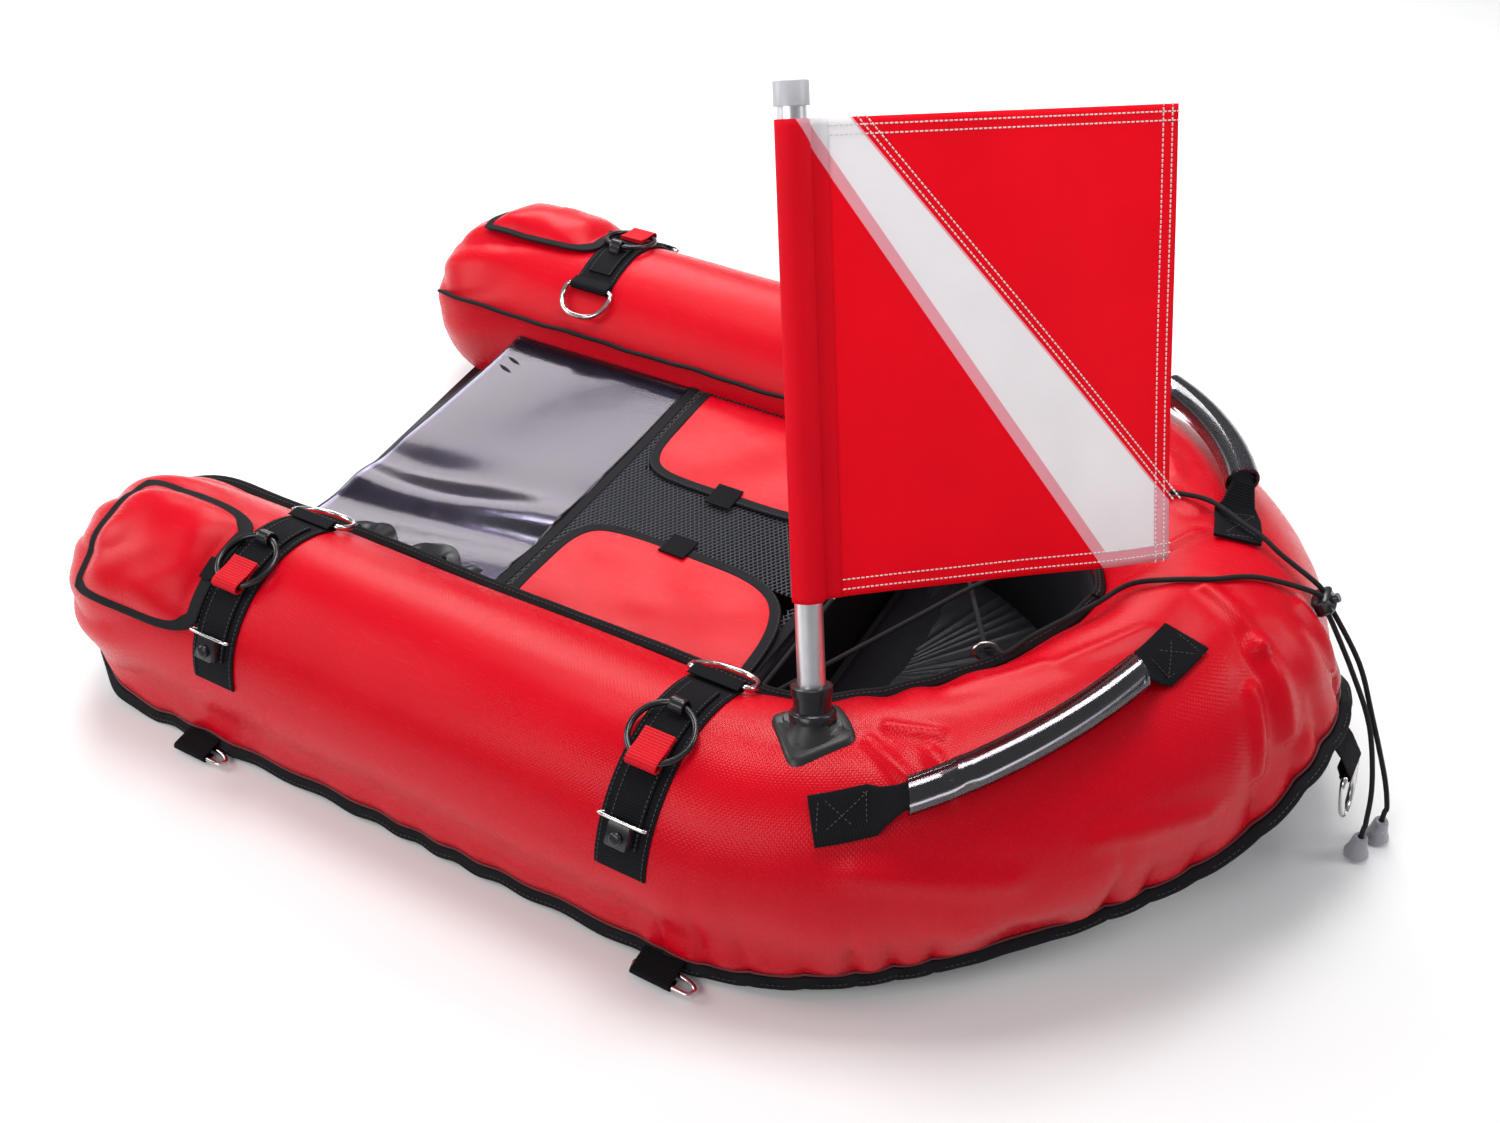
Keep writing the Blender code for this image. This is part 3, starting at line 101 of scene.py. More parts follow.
world = bpy.data.worlds.new("studio")
scene.world = world
world.use_nodes = True
tree = world.node_tree
tree.nodes.clear()
path = add(tree, "ShaderNodeLightPath")
seen = calc(tree, "MAXIMUM", path.outputs["Is Camera Ray"], path.outputs["Is Transmission Ray"])
white = add(tree, "ShaderNodeBackground", {"Color": (1, 1, 1, 1), "Strength": 1.0})
soft = add(tree, "ShaderNodeBackground", {"Color": (0.95, 0.96, 1, 1), "Strength": 0.29})
mixed = add(tree, "ShaderNodeMixShader", {0: seen, 1: soft.outputs[0], 2: white.outputs[0]})
add(tree, "ShaderNodeOutputWorld", {"Surface": mixed.outputs[0]})


def soft_light(name, place, target, width, depth, watts):
    """A rectangular soft light aimed at a point."""
    lamp = bpy.data.lights.new(name, "AREA")
    lamp.shape = "RECTANGLE"
    lamp.size = width
    lamp.size_y = depth
    lamp.energy = watts
    made = bpy.data.objects.new(name, lamp)
    scene.collection.objects.link(made)
    made.location = place
    made.rotation_euler = (Vector(target) - Vector(place)).to_track_quat("-Z", "Y").to_euler()


soft_light("overhead", (-0.2, 0.4, 2.3), (0, 0, 0), 1.1, 0.8, 29)
soft_light("behind", (-1.4, 1.6, 1.4), (0, 0, 0.1), 1.3, 0.7, 23)
soft_light("stern side", (-1.9, -0.7, 1.1), (-0.2, 0, 0.1), 0.8, 1.0, 14)
soft_light("bow side", (1.9, 0.9, 1.4), (0.2, 0, 0.1), 0.6, 1.0, 12)
soft_light("strip", (-0.2, 0.9, 1.5), (0, -0.1, 0.1), 1.8, 0.15, 8)
soft_light("front", (-0.5, -2.2, 1.6), (0, -0.1, 0.1), 1.8, 1.0, 22)

floor_finish = bpy.data.materials.new("white table")
floor_finish.use_nodes = True
tree = floor_finish.node_tree
wire(tree, tree.nodes["Principled BSDF"], {"Base Color": (0.93, 0.93, 0.93, 1), "Roughness": 0.9,
                                           "Specular IOR Level": 0.1})
half, table_top = 14.0, -0.0005
corners = [(x * half, y * half, table_top) for x, y in ((-1, -1), (1, -1), (1, 1), (-1, 1))]
floor_mesh = bpy.data.meshes.new("floor")
floor_mesh.from_pydata(corners, [], [(0, 1, 2, 3)])
floor_mesh.materials.append(floor_finish)
floor = bpy.data.objects.new("floor", floor_mesh)
scene.collection.objects.link(floor)
floor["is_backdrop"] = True

# Cord tails, lock, bells and the lacing over the bow well.
# One braided 4 mm cord is laced over the well. Its two tails run through a sprung plastic lock and hang over
# the bow, each with a moulded bell on its knot.

# The cord lies on the tube, so the tube's shape is here. A place on it is a run from the bow's tip, far side
# positive, and an angle from the tube's inner side over the top.
BOW_X, BOW_LENGTH, BOW_POWER, BOW_RISE = 0.1225, 0.28, 1.65, 0.045
ARM_Y, STERN, TUBE_R, TUBE_Z = 0.258, -0.5475, 0.0926, 0.0935
END_LENGTH, END_RUN, END_POWER = 0.099, 0.140, 2.4
SEAM_ANGLE, SEAM_RISE, WELT_ANGLE = 226, 42, 28.0
CORD_R = 0.0020
quarter = np.radians(np.linspace(0, 90, 721))
bow_line = np.stack([BOW_X + BOW_LENGTH * np.sin(quarter) ** (2 / BOW_POWER),
                     ARM_Y * np.maximum(np.cos(quarter), 0) ** (2 / BOW_POWER)], 1)
bow_lengths = np.concatenate([[0], np.cumsum(np.linalg.norm(np.diff(bow_line, axis=0), axis=1))])
ARC = bow_lengths[-1]
heading = np.gradient(bow_line, axis=0)
heading /= np.linalg.norm(heading, axis=1)[:, None]


def section(run):
    """The tube at a run: centre, outward way, share of its size, the seam's angle and the swelling there."""
    run = np.asarray(run, float)
    side = np.where(run < 0, -1.0, 1.0)
    along = ARC - np.abs(run)
    x = np.where(along > 0, np.interp(along, bow_lengths, bow_line[:, 0]), BOW_X + np.maximum(along, STERN))
    y = np.where(along > 0, np.interp(along, bow_lengths, bow_line[:, 1]), ARM_Y)
    out_x = np.where(along > 0, np.interp(along, bow_lengths, -heading[:, 1]), 0.0)
    out_y = np.where(along > 0, np.interp(along, bow_lengths, heading[:, 0]), 1.0)
    turn = np.clip((STERN - along) / END_RUN, 0, 1) * math.pi / 2
    size = np.maximum(np.cos(turn), 1e-4) ** (2 / END_POWER)
    x = x - END_LENGTH * np.sin(turn) ** (2 / END_POWER)
    rise = np.clip((x - BOW_X - 0.030) / 0.250, 0, 1)
    centre = np.stack([x, side * y, TUBE_Z + BOW_RISE * rise ** 1.5], -1)
    outward = np.stack([out_x, side * out_y, np.zeros_like(out_x)], -1)
    seam = SEAM_ANGLE - SEAM_RISE * np.where(along > 0, np.exp(-(y / 0.080) ** 2), 0)
    swell = 0.0215 - 0.0145 * np.clip((x - BOW_X) / 0.17, 0, 1)
    return centre, outward, size, seam, swell


def way(run, angle):
    """The direction out of the tube at an angle."""
    outward = section(run)[1]
    turn = np.radians(np.asarray(angle, float))
    return -outward * np.cos(turn)[..., None] + np.array((0, 0, 1.0)) * np.sin(turn)[..., None]


def gather(run):
    """The phase of the gathers in the bow's lower edge; one is half a turn, 20 to 45 mm of the seam."""
    return run / 0.0105 + 1.7 * np.sin(run / 0.047 + 1.0) + 0.9 * np.sin(run / 0.0215)


# Single folds of the cloth: from a run and angle to another, with a half width and a height.
FOLDS = (((-0.006, 86), (-0.024, 120), 0.007, 0.0068), ((-0.024, 120), (-0.030, 162), 0.008, 0.0088),
         ((-0.045, 132), (-0.058, 168), 0.006, 0.0054), ((0.020, 128), (0.012, 165), 0.006, 0.0054),
         ((-0.292, 90), (-0.268, 112), 0.006, 0.0046), ((-0.278, 82), (-0.244, 92), 0.006, 0.0049),
         ((-0.252, 100), (-0.238, 122), 0.006, 0.0035), ((-0.222, 60), (-0.150, 66), 0.009, 0.0035),
         ((-0.135, 72), (-0.070, 80), 0.009, 0.0041), ((0.145, 72), (0.104, 82), 0.006, 0.0049),
         ((0.070, 78), (0.050, 60), 0.006, 0.0046), ((0.200, 92), (0.155, 84), 0.006, 0.0041),
         ((-0.300, 150), (-0.215, 166), 0.012, 0.0041), ((-0.160, 158), (-0.095, 170), 0.010, 0.0041))


def rucks(run, angle, seam):
    """How far the cloth stands out of the plain tube: gathers, creases, slack and single folds."""
    sin, exp = np.sin, np.exp
    above = np.maximum(seam - angle, 0) * math.pi / 180 * TUBE_R
    turn = np.radians(angle)
    bow = 1 / (1 + exp((np.abs(run) - 0.41) / 0.02))
    reach = 0.040 + 0.018 * sin(run / 0.0125 + 0.7) + 0.012 * sin(run / 0.041)
    lobe = np.abs(sin(gather(run) + 5.0 * above)) ** 0.75 - 0.62
    pinched = 1 - 0.8 * exp(-(above / 0.009) ** 2)
    height = bow * 0.0095 * lobe * exp(-(above / np.maximum(reach, 0.010)) ** 1.5) * pinched
    height += bow * 0.0014 * sin(run / 0.0054 + 1.2 * sin(run / 0.03)) * exp(-above / 0.014) * pinched
    height += bow * 0.0018 * sin(gather(run) * 0.6 + 9.0 * above) * exp(-((above - 0.055) / 0.035) ** 2)
    height += bow * 0.0016 * sin(run / 0.0105 + 1.5 * sin(run / 0.04)) * exp(-((angle - 44) / 15) ** 2)
    height += (1 - bow) * 0.0012 * sin(run / 0.0085 + 2 * sin(run / 0.05)) * exp(-above / 0.014)
    height += 0.0010 * sin(run / 0.071 + 1.7 * sin(turn * 2) + 0.4) * sin(turn * 2.2 + run / 0.11)
    for (run_a, angle_a), (run_b, angle_b), width, tall in FOLDS:
        over, round_it = run_b - run_a, math.radians(angle_b - angle_a) * TUBE_R
        off_run, off_round = run - run_a, (turn - math.radians(angle_a)) * TUBE_R
        t = np.clip((off_run * over + off_round * round_it) / (over ** 2 + round_it ** 2), 0, 1)
        gone = np.hypot(off_run - t * over, off_round - t * round_it)
        height = height + tall * (exp(-(gone / width) ** 2) - 0.5 * exp(-(gone / width / 2) ** 2))
    stern = 1 / (1 + exp(-(np.abs(run) - ARC + STERN + 0.012) / 0.014))
    height += stern * 0.0044 * (np.abs(sin(turn * 4.5 + 0.9 * sin(run / 0.030))) ** 0.8 - 0.6)
    height += stern * 0.0012 * sin(turn * 13 + run / 0.03)
    return height


def surface(run, angle, lift=0.0):
    """Points on the cover at runs and angles, or a lift above it."""
    run, angle = np.broadcast_arrays(np.asarray(run, float), np.asarray(angle, float))
    centre, outward, size, seam, swell = section(run)
    off = ((angle - seam) / 14) ** 2
    radius = (TUBE_R + swell * np.exp(-off)) * size + lift
    radius = radius + rucks(run, angle, seam) * np.minimum(size * 1.6, 1) * np.clip((angle + 20) / 30, 0, 1)
    made = centre + way(run, angle) * radius[..., None]
    made[..., 2] = np.maximum(made[..., 2], 0.0019 - lift)
    return made


def run_at(side, x):
    """The run of a place on an arm, from its X."""
    past = np.clip((BOW_X + STERN - x) / END_LENGTH, 0, 1) ** (END_POWER / 2)
    return side * (ARC + BOW_X - np.maximum(x, BOW_X + STERN) + np.arcsin(past) * END_RUN / (math.pi / 2))


def smooth(points, steps):
    """A smooth line through points."""
    points = np.asarray(points, float)
    ends = np.vstack([2 * points[0] - points[1], points, 2 * points[-1] - points[-2]])
    t = (np.arange(steps) / steps)[:, None]
    made = []
    for a, b, c, d in zip(ends, ends[1:], ends[2:], ends[3:]):
        square, cube = 2 * a - 5 * b + 4 * c - d, 3 * b - a - 3 * c + d
        made.append(0.5 * (2 * b + (c - a) * t + square * t ** 2 + cube * t ** 3))
    return np.vstack(made + [points[-1:]])


def unit(vectors):
    """Vectors scaled to length 1."""
    return vectors / np.maximum(np.linalg.norm(vectors, axis=-1, keepdims=True), 1e-9)


def spans(points):
    """Length so far at each of a line's points."""
    return np.concatenate([[0], np.cumsum(np.linalg.norm(np.diff(points, axis=0), axis=1))])


def skinned(name, grid, finish, ring=True, loop=False):
    """A mesh through rows of points: ring joins a row's ends, loop the outer rows. UVs are in metres."""
    rows, columns = grid.shape[:2]
    u = np.array([spans(grid[:, c]) for c in range(0, columns, max(1, columns // 8))]).mean(0)
    v = np.array([spans(grid[r]) for r in range(0, rows, max(1, rows // 8))]).mean(0)
    u = np.append(u, u[-1] + np.linalg.norm(grid[-1, 0] - grid[0, 0]))
    v = np.append(v, v[-1] + np.linalg.norm(grid[0, -1] - grid[0, 0]))
    row_steps, column_steps = np.arange(rows - (not loop)), np.arange(columns - (not ring))
    r, c = [part.ravel() for part in np.meshgrid(row_steps, column_steps, indexing="ij")]
    r2, c2 = (r + 1) % rows, (c + 1) % columns
    quads = np.stack([r * columns + c, r * columns + c2, r2 * columns + c2, r2 * columns + c], 1)
    uv = np.stack([np.stack([u[a], v[b]], 1) for a, b in ((r, c), (r, c + 1), (r + 1, c + 1), (r + 1, c))], 1)
    points = grid.reshape(-1, 3)
    corners = points[quads]
    volume = np.einsum("ij,ij->", corners[:, 0], np.cross(corners[:, 1], corners[:, 2]) +
                       np.cross(corners[:, 2], corners[:, 3]))
    faces = quads.tolist()
    if ring and not loop:
        faces += [list(range(columns))[::-1], list(range((rows - 1) * columns, rows * columns))]
    if volume < 0 and ring:
        faces = [f[::-1] for f in faces]
        uv = uv[:, ::-1]
    mesh = bpy.data.meshes.new(name)
    mesh.from_pydata(points.tolist(), [], faces)
    layer = mesh.uv_layers.new(name="cloth")
    flat = np.zeros((len(mesh.loops), 2), np.float32)
    flat[:len(quads) * 4] = uv.reshape(-1, 2)
    layer.data.foreach_set("uv", flat.ravel())
    mesh.materials.append(finish)
    mesh.shade_smooth()
    mesh.set_sharp_from_angle(angle=math.radians(50))
    made = bpy.data.objects.new(name, mesh)
    scene.collection.objects.link(made)
    return made


def round_section(radius, sides):
    """Corners of a round section."""
    turn = np.arange(sides) * 2 * math.pi / sides
    return np.stack([radius * np.cos(turn), radius * np.sin(turn)], 1)


def flat_section(width, thickness, steps=6):
    """Corners of webbing's section, round at both edges."""
    inner = width / 2 - thickness / 2
    turn = np.linspace(-math.pi / 2, math.pi / 2, 5)
    edge = np.stack([inner + thickness / 2 * np.cos(turn), thickness / 2 * np.sin(turn)], 1)
    top = np.stack([np.linspace(inner, -inner, steps + 2)[1:-1], np.full(steps, thickness / 2)], 1)
    return np.vstack([edge, top, -edge, -top])


def swept(name, path, across, profile, finish, loop=False):
    """Carries a section along a path; the section's first axis lies on across."""
    path = np.asarray(path, float)
    if loop:
        tangent = unit(np.roll(path, -1, 0) - np.roll(path, 1, 0))
    else:
        tangent = unit(np.gradient(path, axis=0))
    across = np.broadcast_to(np.asarray(across, float), path.shape)
    across = unit(across - tangent * (across * tangent).sum(-1, keepdims=True))
    up = np.cross(tangent, across)
    profile = np.broadcast_to(profile, (len(path),) + np.shape(profile)[-2:])
    grid = path[:, None] + across[:, None] * profile[..., :1] + up[:, None] * profile[..., 1:]
    return skinned(name, grid, finish, True, loop)


def tube_of(name, path, radius, sides, finish):
    """A round cord or wire along an open path, without twist."""
    path = np.asarray(path, float)
    tangent = unit(np.gradient(path, axis=0))
    across = [unit(np.cross(tangent[0], (0.31, 0.17, 0.93)))]
    for t in tangent[1:]:
        across.append(unit(across[-1] - t * across[-1].dot(t)))
    return swept(name, path, np.array(across), round_section(radius, sides), finish)


def carried(points, place):
    """An array of points moved into a placement."""
    place = np.array(place)
    return points @ place[:3, :3].T + place[:3, 3]


def placed(place, points):
    """A few points moved into a placement."""
    return np.array([list(place @ Vector(point)) for point in points])


def lathe(name, profile, place, segments, finish, closed=True):
    """Turns a profile of (radius, height) about a placement's Z; an open profile ends in flat discs."""
    profile = np.asarray(profile, float)
    turn = np.arange(segments) * 2 * math.pi / segments
    grid = np.stack([profile[:, None, 0] * np.cos(turn), profile[:, None, 0] * np.sin(turn),
                     np.broadcast_to(profile[:, None, 1], (len(profile), segments))], -1)
    return skinned(name, carried(grid, place), finish, True, closed)


def fit(made, body, finish_slot, *nodes):
    """Fixes a piece to its body in place of the CAD nodes it stands for."""
    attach(made, body)
    if nodes:
        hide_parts(*nodes)
    return made


def shared_group(name, inputs, outputs):
    """An empty shader group with its sockets."""
    group = bpy.data.node_groups.new(name, "ShaderNodeTree")
    for label, kind in inputs:
        group.interface.new_socket(label, in_out="INPUT", socket_type="NodeSocket" + kind)
    for label in outputs:
        group.interface.new_socket(label, in_out="OUTPUT", socket_type="NodeSocketFloat")
    return group, add(group, "NodeGroupInput").outputs, add(group, "NodeGroupOutput")


def weave_group():
    """Height of a plain weave, and of ribs, for a thread pitch in metres."""
    sockets = [("Vector", "Vector"), ("Pitch", "Float")]
    group, given, result = shared_group("weave", sockets, ("Weave", "Ribs"))
    parts = add(group, "ShaderNodeSeparateXYZ", {0: given["Vector"]})
    x = calc(group, "MULTIPLY", calc(group, "DIVIDE", parts.outputs[0], given["Pitch"]), math.pi)
    y = calc(group, "MULTIPLY", calc(group, "DIVIDE", parts.outputs[1], given["Pitch"]), math.pi)
    sx, sy = calc(group, "SINE", x), calc(group, "SINE", y)
    over = calc(group, "GREATER_THAN", calc(group, "MULTIPLY", sx, sy), 0.0)
    ax, ay = calc(group, "ABSOLUTE", sx), calc(group, "ABSOLUTE", sy)
    both = calc(group, "MULTIPLY_ADD", over, calc(group, "SUBTRACT", ax, ay), ay)
    wire(group, result, {"Weave": both, "Ribs": ax})
    return group


def wear_group():
    """Soft blotches, fine grain and sparse scuffs, each from 0 to 1."""
    group, given, result = shared_group("wear", [("Vector", "Vector")], ("Blotch", "Grain", "Scuff"))
    spot = given["Vector"]
    blotch = add(group, "ShaderNodeTexNoise", {"Vector": spot, "Scale": 18.0, "Detail": 3.0})
    grain = add(group, "ShaderNodeTexNoise", {"Vector": spot, "Scale": 900.0, "Detail": 2.0})
    streak = add(group, "ShaderNodeMapping", {"Vector": spot, "Rotation": (0.4, 0.2, 0.7),
                                              "Scale": (40.0, 700.0, 300.0)})
    scuff = add(group, "ShaderNodeTexNoise", {"Vector": streak.outputs[0], "Scale": 1.0, "Detail": 4.0})
    sharp = add(group, "ShaderNodeMapRange", {"Value": scuff.outputs[0], "From Min": 0.62, "From Max": 0.72})
    wire(group, result, {"Blotch": blotch.outputs[0], "Grain": grain.outputs[0], "Scuff": sharp.outputs[0]})
    return group


WEAVE, WEAR = weave_group(), wear_group()


def worn_material(name):
    """A material, its tree, and the wear over the piece's own coordinates."""
    made = bpy.data.materials.new(name)
    made.use_nodes = True
    tree = made.node_tree
    spot = add(tree, "ShaderNodeTexCoord").outputs["Object"]
    return made, tree, add(tree, "ShaderNodeGroup", {0: spot}, node_tree=WEAR).outputs


def woven(tree, pitch):
    """The weave and the ribs of a cloth, on its own UV map."""
    spot = add(tree, "ShaderNodeUVMap").outputs[0]
    return add(tree, "ShaderNodeGroup", {0: spot, "Pitch": pitch}, node_tree=WEAVE).outputs


def finish(name, colour, rough, pattern="Grain", pitch=0.001, depth=0.00003, mottle=0.12, **values):
    """A material of one colour with its weave, ribs or grain as bump, and mottled tone and gloss."""
    made, tree, wear = worn_material(name)
    height = wear["Grain"]
    if pattern in ("Weave", "Ribs"):
        height = calc(tree, "MULTIPLY_ADD", height, 0.35, woven(tree, pitch)[pattern])
    bump = add(tree, "ShaderNodeBump", {"Height": height, "Distance": depth, "Strength": 1.0})
    mottled = calc(tree, "SUBTRACT", wear["Blotch"], 0.5)
    tone = calc(tree, "MULTIPLY_ADD", mottled, mottle * 2, 1.0)
    shade = add(tree, "ShaderNodeVectorMath", {0: colour, "Scale": tone}, operation="SCALE")
    gloss = calc(tree, "MULTIPLY_ADD", wear["Scuff"], 0.10, rough)
    gloss = calc(tree, "MULTIPLY_ADD", mottled, 0.12, gloss)
    shader = tree.nodes["Principled BSDF"]
    wire(tree, shader, {"Base Color": shade.outputs[0], "Roughness": gloss, "Normal": bump.outputs[0]})
    wire(tree, shader, {key.replace("_", " "): value for key, value in values.items()})
    return made


BRAID = finish("braided cord", (0.011, 0.011, 0.013), 0.75, "Weave", 0.0009, 0.00022, Specular_IOR_Level=0.3)
MOULDED = finish("black moulded plastic", (0.010, 0.010, 0.012), 0.24, mottle=0.2)
STEEL = finish("polished steel", (0.66, 0.65, 0.63), 0.16, depth=0.000006, Metallic=1.0)
BELL = finish("clear bell plastic", (0.50, 0.48, 0.53), 0.20, Transmission_Weight=0.45)

# The lock sits over the bow's front, on the far side of its tip, with its bores pointing forward and down.
lock_place = Matrix(((0.61064, -0.10261, 0.78523, 0.47058), (-0.03268, 0.98746, 0.15445, 0.05015),
                     (-0.79123, -0.11997, 0.59963, 0.20368), (0, 0, 0, 1)))


def tail(label, lying, offset, falling, bell):
    """A cord tail: runs, angles and lifts where it lies on the bow, then the lock, then points in the air."""
    start = surface(*np.array(lying).T)
    through = placed(lock_place, [(x, offset, 0) for x in (-0.012, 0.0, 0.012)])
    hang = [(bell[0], bell[1], z) for z in (0.040, 0.031, 0.013)]
    path = smooth(np.vstack([start, through, falling, hang]), 7)
    cord_body = tube_of("tail_" + label, path, CORD_R, 14, BRAID)
    fit(cord_body, "float", "cord", "cord_tail_" + label)
    outline = [(0.0026, 0.0200), (0.0026, 0.0165), (0.0042, 0.0140), (0.0056, 0.0090), (0.0070, 0.0040),
               (0.0082, 0.0003), (0.0086, 0.0), (0.0092, 0.0), (0.0095, 0.0006), (0.0093, 0.0024),
               (0.0084, 0.0044), (0.0074, 0.0080), (0.0066, 0.0125), (0.0060, 0.0160), (0.0056, 0.0182),
               (0.0048, 0.0196), (0.0040, 0.0200)]
    made = lathe("bell_" + label, outline, Matrix.Translation((bell[0], bell[1], 0.0020)), 40, BELL)
    fit(made, "float", "bell_plastic", "cord_bell_" + label)


tail("far", [(0.1585, 20.8, 0.0215), (0.1507, 31, 0.0152), (0.1437, 43.4, 0.0044), (0.1354, 68.8, 0.0046),
             (0.1191, 80.3, 0.0040), (0.1028, 87.8, 0.0094), (0.0875, 92.9, 0.0092), (0.0702, 99.1, 0.0090),
             (0.0580, 106.6, 0.0086), (0.0480, 115.0, 0.0064)],
     0.0058, [(0.506, 0.056, 0.150), (0.526, 0.048, 0.110), (0.548, 0.036, 0.065)], (0.557, 0.030))
tail("near", [(-0.1585, 20.8, 0.0215), (-0.1604, 31, 0.0155), (-0.1585, 39.6, 0.0070),
              (-0.1379, 46.2, 0.0100), (-0.1172, 49.1, 0.0100), (-0.0691, 49.7, 0.0095),
              (-0.0295, 54.4, 0.0060), (-0.0107, 69.6, 0.0030), (0.0044, 85.8, 0.0026), (0.0180, 105, 0.0036)],
     -0.0058, [(0.504, 0.044, 0.150), (0.527, 0.036, 0.110), (0.542, 0.023, 0.065)], (0.547, 0.006))

turn = np.linspace(0, 2 * math.pi, 40, endpoint=False)
oval = np.stack([np.sign(np.cos(turn)) * np.abs(np.cos(turn)) ** 0.55 * 0.0120,
                 np.sign(np.sin(turn)) * np.abs(np.sin(turn)) ** 0.55 * 0.0075], 1)
steps = [(-0.0065, 0.84), (-0.0060, 0.93), (-0.0048, 1.0), (-0.0042, 0.96), (0.0042, 0.96), (0.0048, 1.0),
         (0.0060, 0.93), (0.0065, 0.84)]
grid = np.array([placed(lock_place, [(x, y * s, z * s) for y, z in oval]) for x, s in steps])
fit(skinned("cord_lock", grid, MOULDED), "float", "black_gloss", "cord_lock")
button = [(0.0036, 0.0065), (0.0036, 0.0112), (0.0033, 0.0118)]
made = lathe("lock_button", button, lock_place, 24, MOULDED, False)
fit(made, "lock_button", "black_gloss", "lock_button")


def anchor(side):
    """A cord anchor: its root on the welt, its hook, and the way from one to the other."""
    root = surface(side * (ARC - ARC * 6.45 / 11), WELT_ANGLE, 0.005)
    hook = np.array((0.2535, side * 0.0680, 0.1560))
    return root, hook, unit(hook - root)


hook, toward = anchor(1)[1:]
start = hook + toward * 0.0024
rear = surface(run_at(1, 0.110), 18.0, 0.0046)
flip = np.array((1, -1, 1))


def crossing(part, lift):
    """A point of the cord on its way over the well, from the far anchor to the near rear corner."""
    return start + (rear * flip - start) * part + (0, 0, lift)


over = ((0.0, 0.0), (0.15, 0.0010), (0.30, 0.0034), (0.50, 0.0020), (0.90, 0.0))
route = [crossing(part, lift) for part, lift in over]
route += [rear * flip, rear * flip + (-0.006, 0.008, 0), rear * flip + (-0.0065, 0.040, -0.001)]
route.append(np.array((rear[0] - 0.0065, 0, rear[2] - 0.003)))
route += [rear + (-0.0065, -0.040, -0.001), rear + (-0.006, -0.008, 0), rear]
route += [crossing(part, -lift) * flip for part, lift in over[::-1]]
path = smooth(route, 7)
lacing = fit(tube_of("lacing", path, CORD_R, 14, BRAID), "float", "cord", "lacing_cord")

# Red cover and the two bladders inside it.
# The cover is PVC-coated cloth, cut as a U and welded into a tube; at the bow its lower edge is gathered into
# the hull's seam. The bladders are thin welded film, hidden inside the cover.

RED = finish("red PVC cloth", (0.600, 0.0010, 0.0110), 0.26, "Weave", 0.0016, 0.00009, mottle=0.06,
             Specular_IOR_Level=0.15)
FILM = finish("bladder film", (0.55, 0.54, 0.50), 0.4)
SIDES = ((-1, "near"), (1, "far"))
ARM_END = ARC - STERN
CLOTH_FROM, CLOTH_TO = -70.0, 290.0


def stepped(marks, counts):
    """Even steps between marks, with a count for each stretch."""
    steps = [np.linspace(a, b, count)[:-1] for a, b, count in zip(marks, marks[1:], counts)]
    return np.concatenate(steps + [marks[-1:]])


run_line = stepped((-ARM_END - END_RUN, -ARM_END, -0.44, 0.44, ARM_END, ARM_END + END_RUN),
                   (46, 120, 380, 120, 46))
share = stepped((0, 0.25, 0.68, 1), (12, 48, 60))
seam_line = section(run_line)[3][:, None]
angles = np.concatenate([CLOTH_FROM + (seam_line - CLOTH_FROM) * share,
                         seam_line + (CLOTH_TO - seam_line) * (np.arange(1, 14) / 14)], 1)
cover_grid = surface(run_line[:, None], angles)
fit(skinned("cover", cover_grid, RED), "float", "red_pvc", "cover")
for side, label in SIDES:
    line = side * np.linspace(0.006, ARM_END + 0.118, 240)
    round_it = np.linspace(CLOTH_FROM, CLOTH_TO, 60, endpoint=False)
    grid = surface(line[:, None], round_it, -0.0075)
    centre = section(line)[0][:, None]
    grid = centre + (grid - centre) * 0.985
    grid[..., 2] = np.maximum(grid[..., 2], 0.0045)
    fit(skinned("bladder_" + label, grid, FILM), "float", "bladder_tpu", "bladder_" + label)

# Hull: black coated cloth under the tube and between the arms.
# It meets the cover in a seam with a thin dark red piping, bound with black webbing right round the float.

HULL = finish("black PVC cloth", (0.010, 0.011, 0.014), 0.30, "Weave", 0.0011, 0.00004,
              Specular_IOR_Level=0.4)
BINDING = finish("black binding", (0.008, 0.008, 0.010), 0.66, "Ribs", 0.0012, 0.00016,
                 Specular_IOR_Level=0.15)
WEBBING = finish("black webbing", (0.006, 0.006, 0.008), 0.78, "Ribs", 0.0022, 0.00036,
                 Specular_IOR_Level=0.12)
HULL_WALL = 0.0015


def settled(made):
    """Makes a piece's modifiers part of its mesh."""
    mesh = bpy.data.meshes.new_from_object(made.evaluated_get(bpy.context.evaluated_depsgraph_get()))
    made.modifiers.clear()
    made.data = mesh
    return made


def solidified(made, thickness):
    """Gives an open sheet its thickness, half on each side."""
    step = made.modifiers.new("thickness", "SOLIDIFY")
    step.thickness = thickness
    step.offset = 0.0
    step.use_even_offset = False
    return settled(made)


trimmed = run_line[8:-8]
seam_line = section(trimmed)[3][:, None]
angles = seam_line + (CLOTH_TO - seam_line) * np.linspace(0.02, 1, 14)
outer, inner = surface(trimmed[:, None], angles, 0.0019), surface(trimmed[:, None], angles, 0.0004)
outer[..., 2] = np.maximum(outer[..., 2], 0.0)
inner[..., 2] = np.maximum(inner[..., 2], HULL_WALL)
made = skinned("hull_sides", np.concatenate([outer, inner[:, ::-1]], 1), HULL)
fit(made, "float", "black_pvc", "hull_sheet")
inside = np.abs(trimmed) < ARM_END + 0.057
rim = inner[inside][:, -1]
middle = np.stack([np.minimum(rim[:, 0], BOW_X), rim[:, 1] * 0, rim[:, 2] * 0 + HULL_WALL], 1)
grid = rim[:, None] + (middle - rim)[:, None] * np.linspace(0, 1, 12)[None, :, None]
near_half, far_half = grid[trimmed[inside] <= 0], grid[trimmed[inside] > 0][::-1, ::-1]
